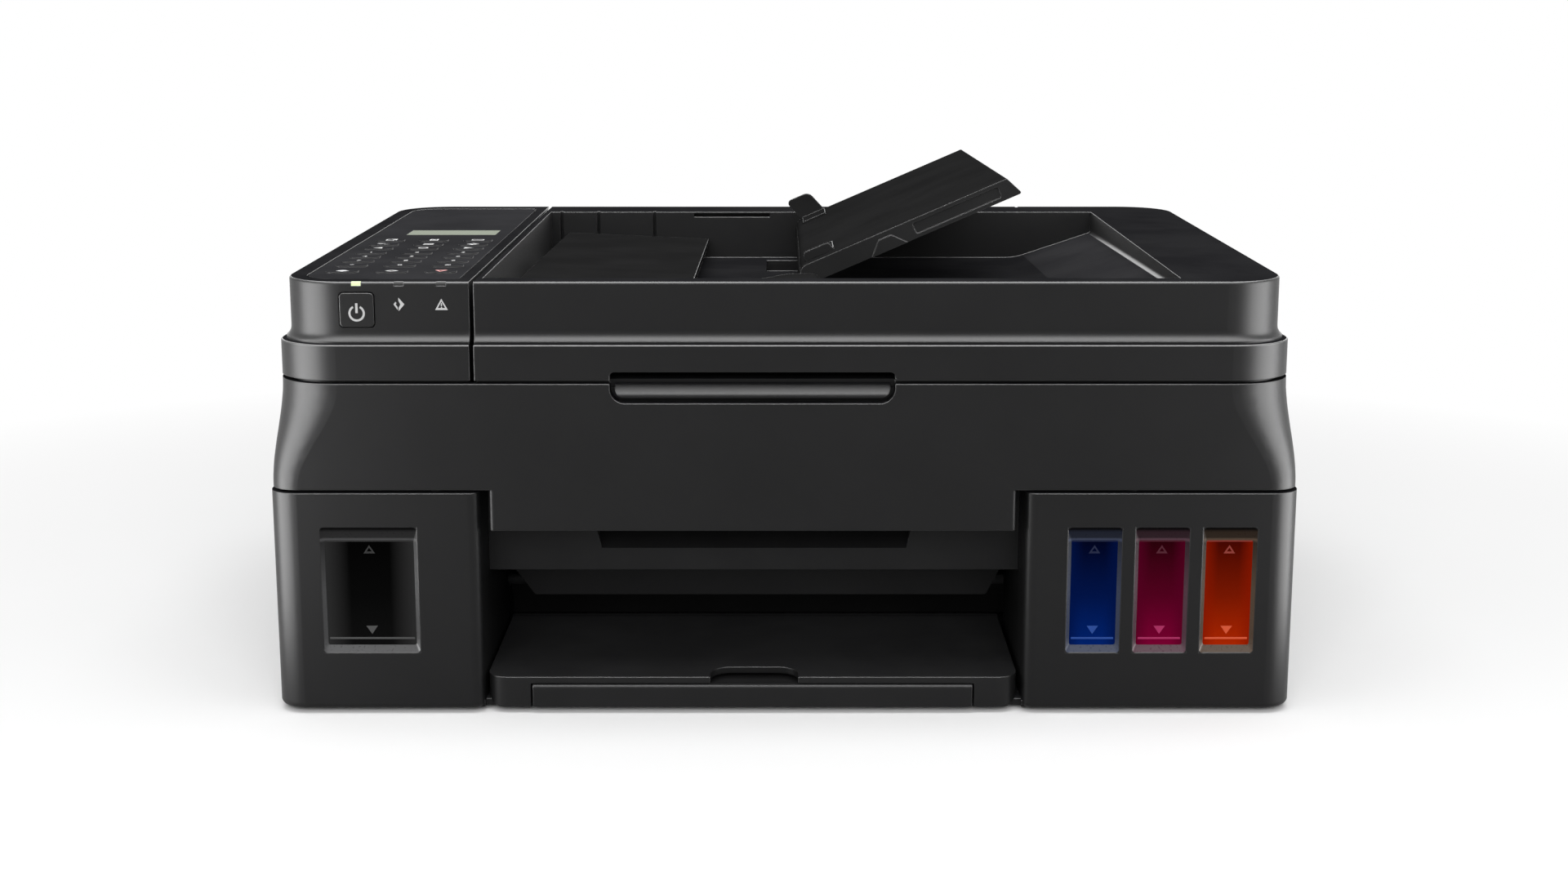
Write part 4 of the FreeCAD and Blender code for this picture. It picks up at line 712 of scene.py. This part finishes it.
# Each lid's body, side, seam and outer wall of its rim
LIDS = (
    ("scanning_unit", -1, RIM_SEAM.x, RIM_LOW.x),
    ("document_cover", 1, COVER_LOW.x, COVER_HIGH.x),
)
for body, side, seam, rim in LIDS:
    inset = STEP_INSET * MM
    lid_path = corner_path(side, seam, rim - side * inset, RIM_LOW.y + inset, LID_CORNER)
    trim("step_cove_" + body, cove_profile(), lid_path, case_plastic, body)
    rim_path = corner_path(side, seam, rim, RIM_LOW.y, RIM_CORNER)
    trim("rim_edge_" + body, edge_profile(), rim_path, edge_plastic, body)


# Legends of the keys

DIGIT_ROWS = (("*", "0", "#"), ("7", "8", "9"), ("4", "5", "6"), ("1", "2", "3"))
DIGIT_NAMES = {"*": "star", "#": "hash"}
for row, digits in enumerate(DIGIT_ROWS, start=1):
    for column, digit in enumerate(digits):
        label = "digit_" + DIGIT_NAMES.get(digit, digit)
        figure(label, digit, key_plane(column, row), legend_white, "scanning_unit")


def legend(name, column, row, outlines, material=legend_white):
    mark(name, outlines, key_plane(column, row), material, "scanning_unit")


DIAMOND = [(-3.0, 0.0), (0.0, -2.4), (3.0, 0.0), (0.0, 2.4)]
DIAMOND_HOLE = [(-1.8, 0.0), (0.0, 1.4), (1.8, 0.0), (0.0, -1.4)]
TURNED_ARROW = [arc_band(0.4, 0, 1.5, 2.2, -90, 90), bar(-1.0, 1.85, 2.8, 0.7),
                [(-2.0, 3.0), (-3.6, 1.85), (-2.0, 0.7)]]
COG_TEETH = [bar(0, v, 0.8, 1.0) for v in (-2.4, 2.4)] + [bar(u, 0, 1.0, 0.8) for u in (-2.4, 2.4)]
SHEET = [bar(0, 0, 4.0, 5.0), bar(0, 0, 2.8, 3.8)[::-1]]
SHEET_BEHIND = [bar(2.9, 0.9, 0.6, 4.4), bar(1.6, 3.1, 3.2, 0.6)]
FLATBED = [bar(0, -1.6, 6.0, 0.8), bar(0, 1.6, 6.0, 0.5)] + [bar(u, 0, 0.5, 2.6) for u in (-2.7, 2.7)]
legend("start_black", 0, 0, [DIAMOND], legend_grey)
legend("start_colour", 1, 0, [DIAMOND, DIAMOND_HOLE])
legend("stop", 2, 0, triangle_frame(0, 5.6, -5.0, 0.8), legend_red)
legend("previous", 0, 5, [[(2.0, -2.0), (2.0, 2.0), (-2.2, 0.0)]])
legend("confirm", 1, 5, ring(1.7, 2.4))
legend("following", 2, 5, [[(-2.0, -2.0), (2.2, 0.0), (-2.0, 2.0)]])
legend("back", 0, 6, TURNED_ARROW)
legend("menu", 1, 6, [bar(0, v, 5.0, 0.7) for v in (-1.6, 0.0, 1.6)])
legend("settings", 2, 6, ring(1.0, 1.9) + COG_TEETH)
legend("copy_mode", 0, 7, SHEET + SHEET_BEHIND)
legend("fax_mode", 1, 7, SHEET + [bar(0, v, 1.8, 0.5) for v in (-1.0, 0.0, 1.0)])
legend("scan_mode", 2, 7, FLATBED)


# Ink windows: linings of the bevelled holes, plugs that round the holes' corners, and level marks

def at_depth(outline, y):
    """Upright ring of places from an outline seen from the front."""
    return [(x, y, z) for x, z in outline]


def window_frame(colour, low, high, body):
    """Lining that slopes from the hole in the case to the pane, and the plugs in the hole's corners."""
    x0, x1 = low.x + WINDOW_MARGIN * MM, high.x - WINDOW_MARGIN * MM
    z0, z1 = WINDOW_LOW * MM, WINDOW_HIGH * MM
    hole = rounded_corners(x0, x1, z0, z1, WINDOW_CORNER * MM)
    pane = rounded_corners(x0 + BEVEL_SIDE * MM, x1 - BEVEL_SIDE * MM, z0 + BEVEL_BOTTOM * MM,
                           z1 - BEVEL_TOP * MM, PANE_CORNER * MM)
    thickness = LINING_THICKNESS * MM
    front, back = CASE_FRONT + thickness, low.y - PANE_GAP * MM
    outer, inner = sum(hole, []), sum(pane, [])
    rings = [at_depth(outer, front), at_depth(inner, back),
             at_depth(inner, back + thickness), at_depth(outer, front + thickness)]
    lining = LINING_MATERIALS[colour]
    mesh_piece("window_frame_" + colour, *tube(rings, closed=True), lining, body, "ink_" + colour)
    places, faces = [], []
    for arc, corner in zip(hole, ((x0, z0), (x1, z0), (x1, z1), (x0, z1))):
        ends = [at_depth([corner] + arc, CASE_FRONT + depth) for depth in (PLUG_SINK * MM, 2 * thickness)]
        plug_places, plug_faces = tube(ends)
        faces += [tuple(len(places) + i for i in face) for face in plug_faces]
        places += plug_places
    mesh_piece("window_corners_" + colour, places, faces, plug_plastic, body, "case_plastic")


def level_marks(colour, low, high, body):
    """Marks for a full and a low tank, with a line at the low mark and one along the pane's top."""
    plane = front_plane((low.x + high.x) / 2, low.y - PRINT_PROUD * MM, 0.0)
    width = (high.x - low.x) / MM - 2 * (WINDOW_MARGIN + BEVEL_SIDE)
    top, bottom = WINDOW_HIGH - BEVEL_TOP, WINDOW_LOW + BEVEL_BOTTOM
    outlines = triangle_frame(top - FULL_MARK_DROP, LEVEL_WIDTH, LEVEL_HEIGHT, LEVEL_LINE)
    outlines += [triangle(bottom + LOW_MARK_RISE, LEVEL_WIDTH, -LEVEL_HEIGHT),
                 bar(0, bottom + LOW_LINE_RISE, width - LOW_LINE_MARGIN, LOW_LINE_HEIGHT),
                 bar(0, top - TOP_LINE_DROP, width - TOP_LINE_MARGIN, TOP_LINE_HEIGHT)]
    mark("level_marks_" + colour, outlines, plane, LEVEL_MATERIALS[colour], body)


for colour in INK_COLOURS:
    low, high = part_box("ink_tank_" + colour)
    window_frame(colour, low, high, "base")
    level_marks(colour, low, high, "base")


# Floor, light and camera

def seen_rays(tree):
    """One for rays that see the surroundings, directly, in a gloss or through glass."""
    rays = add_node(tree, "LightPath").outputs
    seen = calculate(tree, "MAXIMUM", rays["Is Camera Ray"], rays["Is Glossy Ray"])
    return calculate(tree, "MAXIMUM", seen, rays["Is Transmission Ray"])


def pale_floor():
    """Wide floor that takes light and shade near the part and looks plain white further out."""
    mesh = bpy.data.meshes.new("floor")
    corners = [(x, y, 0.0) for x, y in bar(0, 0, FLOOR_SIZE, FLOOR_SIZE)]
    mesh.from_pydata(corners, [], [(0, 1, 2, 3)])
    floor = bpy.data.objects.new("floor", mesh)
    bpy.context.scene.collection.objects.link(floor)
    material, tree, shader = new_material("floor")
    clouds = noise(tree, coordinates(tree), scale=3.0)
    set_sockets(tree, shader, Base_Color=two_tone(tree, clouds, MIDDLE, grey(0.9), grey(0.92)),
                Roughness=0.9, Specular_IOR_Level=0.0)
    far = spread(tree, measure(tree, "LENGTH", coordinates(tree)), FLOOR_FADE, SHARE)
    white = add_node(tree, "Emission").outputs["Emission"]
    passage = tree.nodes.new("ShaderNodeMixShader")
    sources = (calculate(tree, "MULTIPLY", far, seen_rays(tree)), shader.outputs["BSDF"], white)
    for socket, source in zip(passage.inputs, sources):
        feed(tree, socket, source)
    set_sockets(tree, tree.nodes["Material Output"], Surface=passage.outputs["Shader"])
    mesh.materials.append(material)


def white_surround():
    """World that looks white, and lights the scene at a lower, plain level."""
    world = bpy.data.worlds.new("surround")
    bpy.context.scene.world = world
    world.use_nodes = True
    tree = world.node_tree
    strength = spread(tree, seen_rays(tree), SHARE, (SURROUND_FILL, 1.0))
    set_sockets(tree, tree.nodes["Background"], Color=(1.0, 1.0, 1.0, 1.0), Strength=strength)


def area_light(name, place, aim, size, power, gloss=True, matte=True):
    """Soft lamp that acts on the gloss of things, on their matte colour or on both."""
    data = bpy.data.lights.new(name, "AREA")
    data.shape = "RECTANGLE"
    data.size, data.size_y = size
    data.energy = power
    lamp = bpy.data.objects.new(name, data)
    lamp.location = place
    lamp.rotation_euler = (Vector(aim) - Vector(place)).to_track_quat("-Z", "Y").to_euler()
    lamp.visible_camera = False
    lamp.visible_diffuse = matte
    lamp.visible_glossy = gloss
    bpy.context.scene.collection.objects.link(lamp)


pale_floor()
white_surround()
area_light("top_softbox", place=(0.0, -0.3, 1.7), aim=(0.0, 0.0, 0.1), size=(1.6, 1.2), power=14.0)
area_light("front_softbox", place=(0.0, -1.6, 0.7), aim=(0.0, 0.0, 0.05), size=(1.2, 0.6), power=18.0,
           gloss=False)
area_light("top_panel", place=(0.0, -0.08, 0.75), aim=(0.0, -0.08, 0.0), size=(1.2, 1.34), power=85.0,
           matte=False)
area_light("rear_panel", place=(0.0, 1.0, 0.35), aim=(0.0, 0.16, 0.1), size=(1.6, 0.7), power=9.0,
           matte=False)
area_light("left_panel", place=(-0.335, -0.215, 0.12), aim=(-0.21, -0.155, 0.12), size=(0.15, 0.24),
           power=2.1, matte=False)
area_light("right_panel", place=(0.345, -0.19, 0.12), aim=(0.21, -0.152, 0.12), size=(0.14, 0.24),
           power=1.6, matte=False)

camera = bpy.data.objects.new("camera", bpy.data.cameras.new("camera"))
camera.data.lens = CAMERA_LENS
camera.location = CAMERA_PLACE
camera.rotation_euler = (math.radians(CAMERA_PITCH), 0.0, 0.0)
bpy.context.scene.collection.objects.link(camera)
bpy.context.scene.camera = camera
bpy.context.scene.view_settings.view_transform = "Standard"
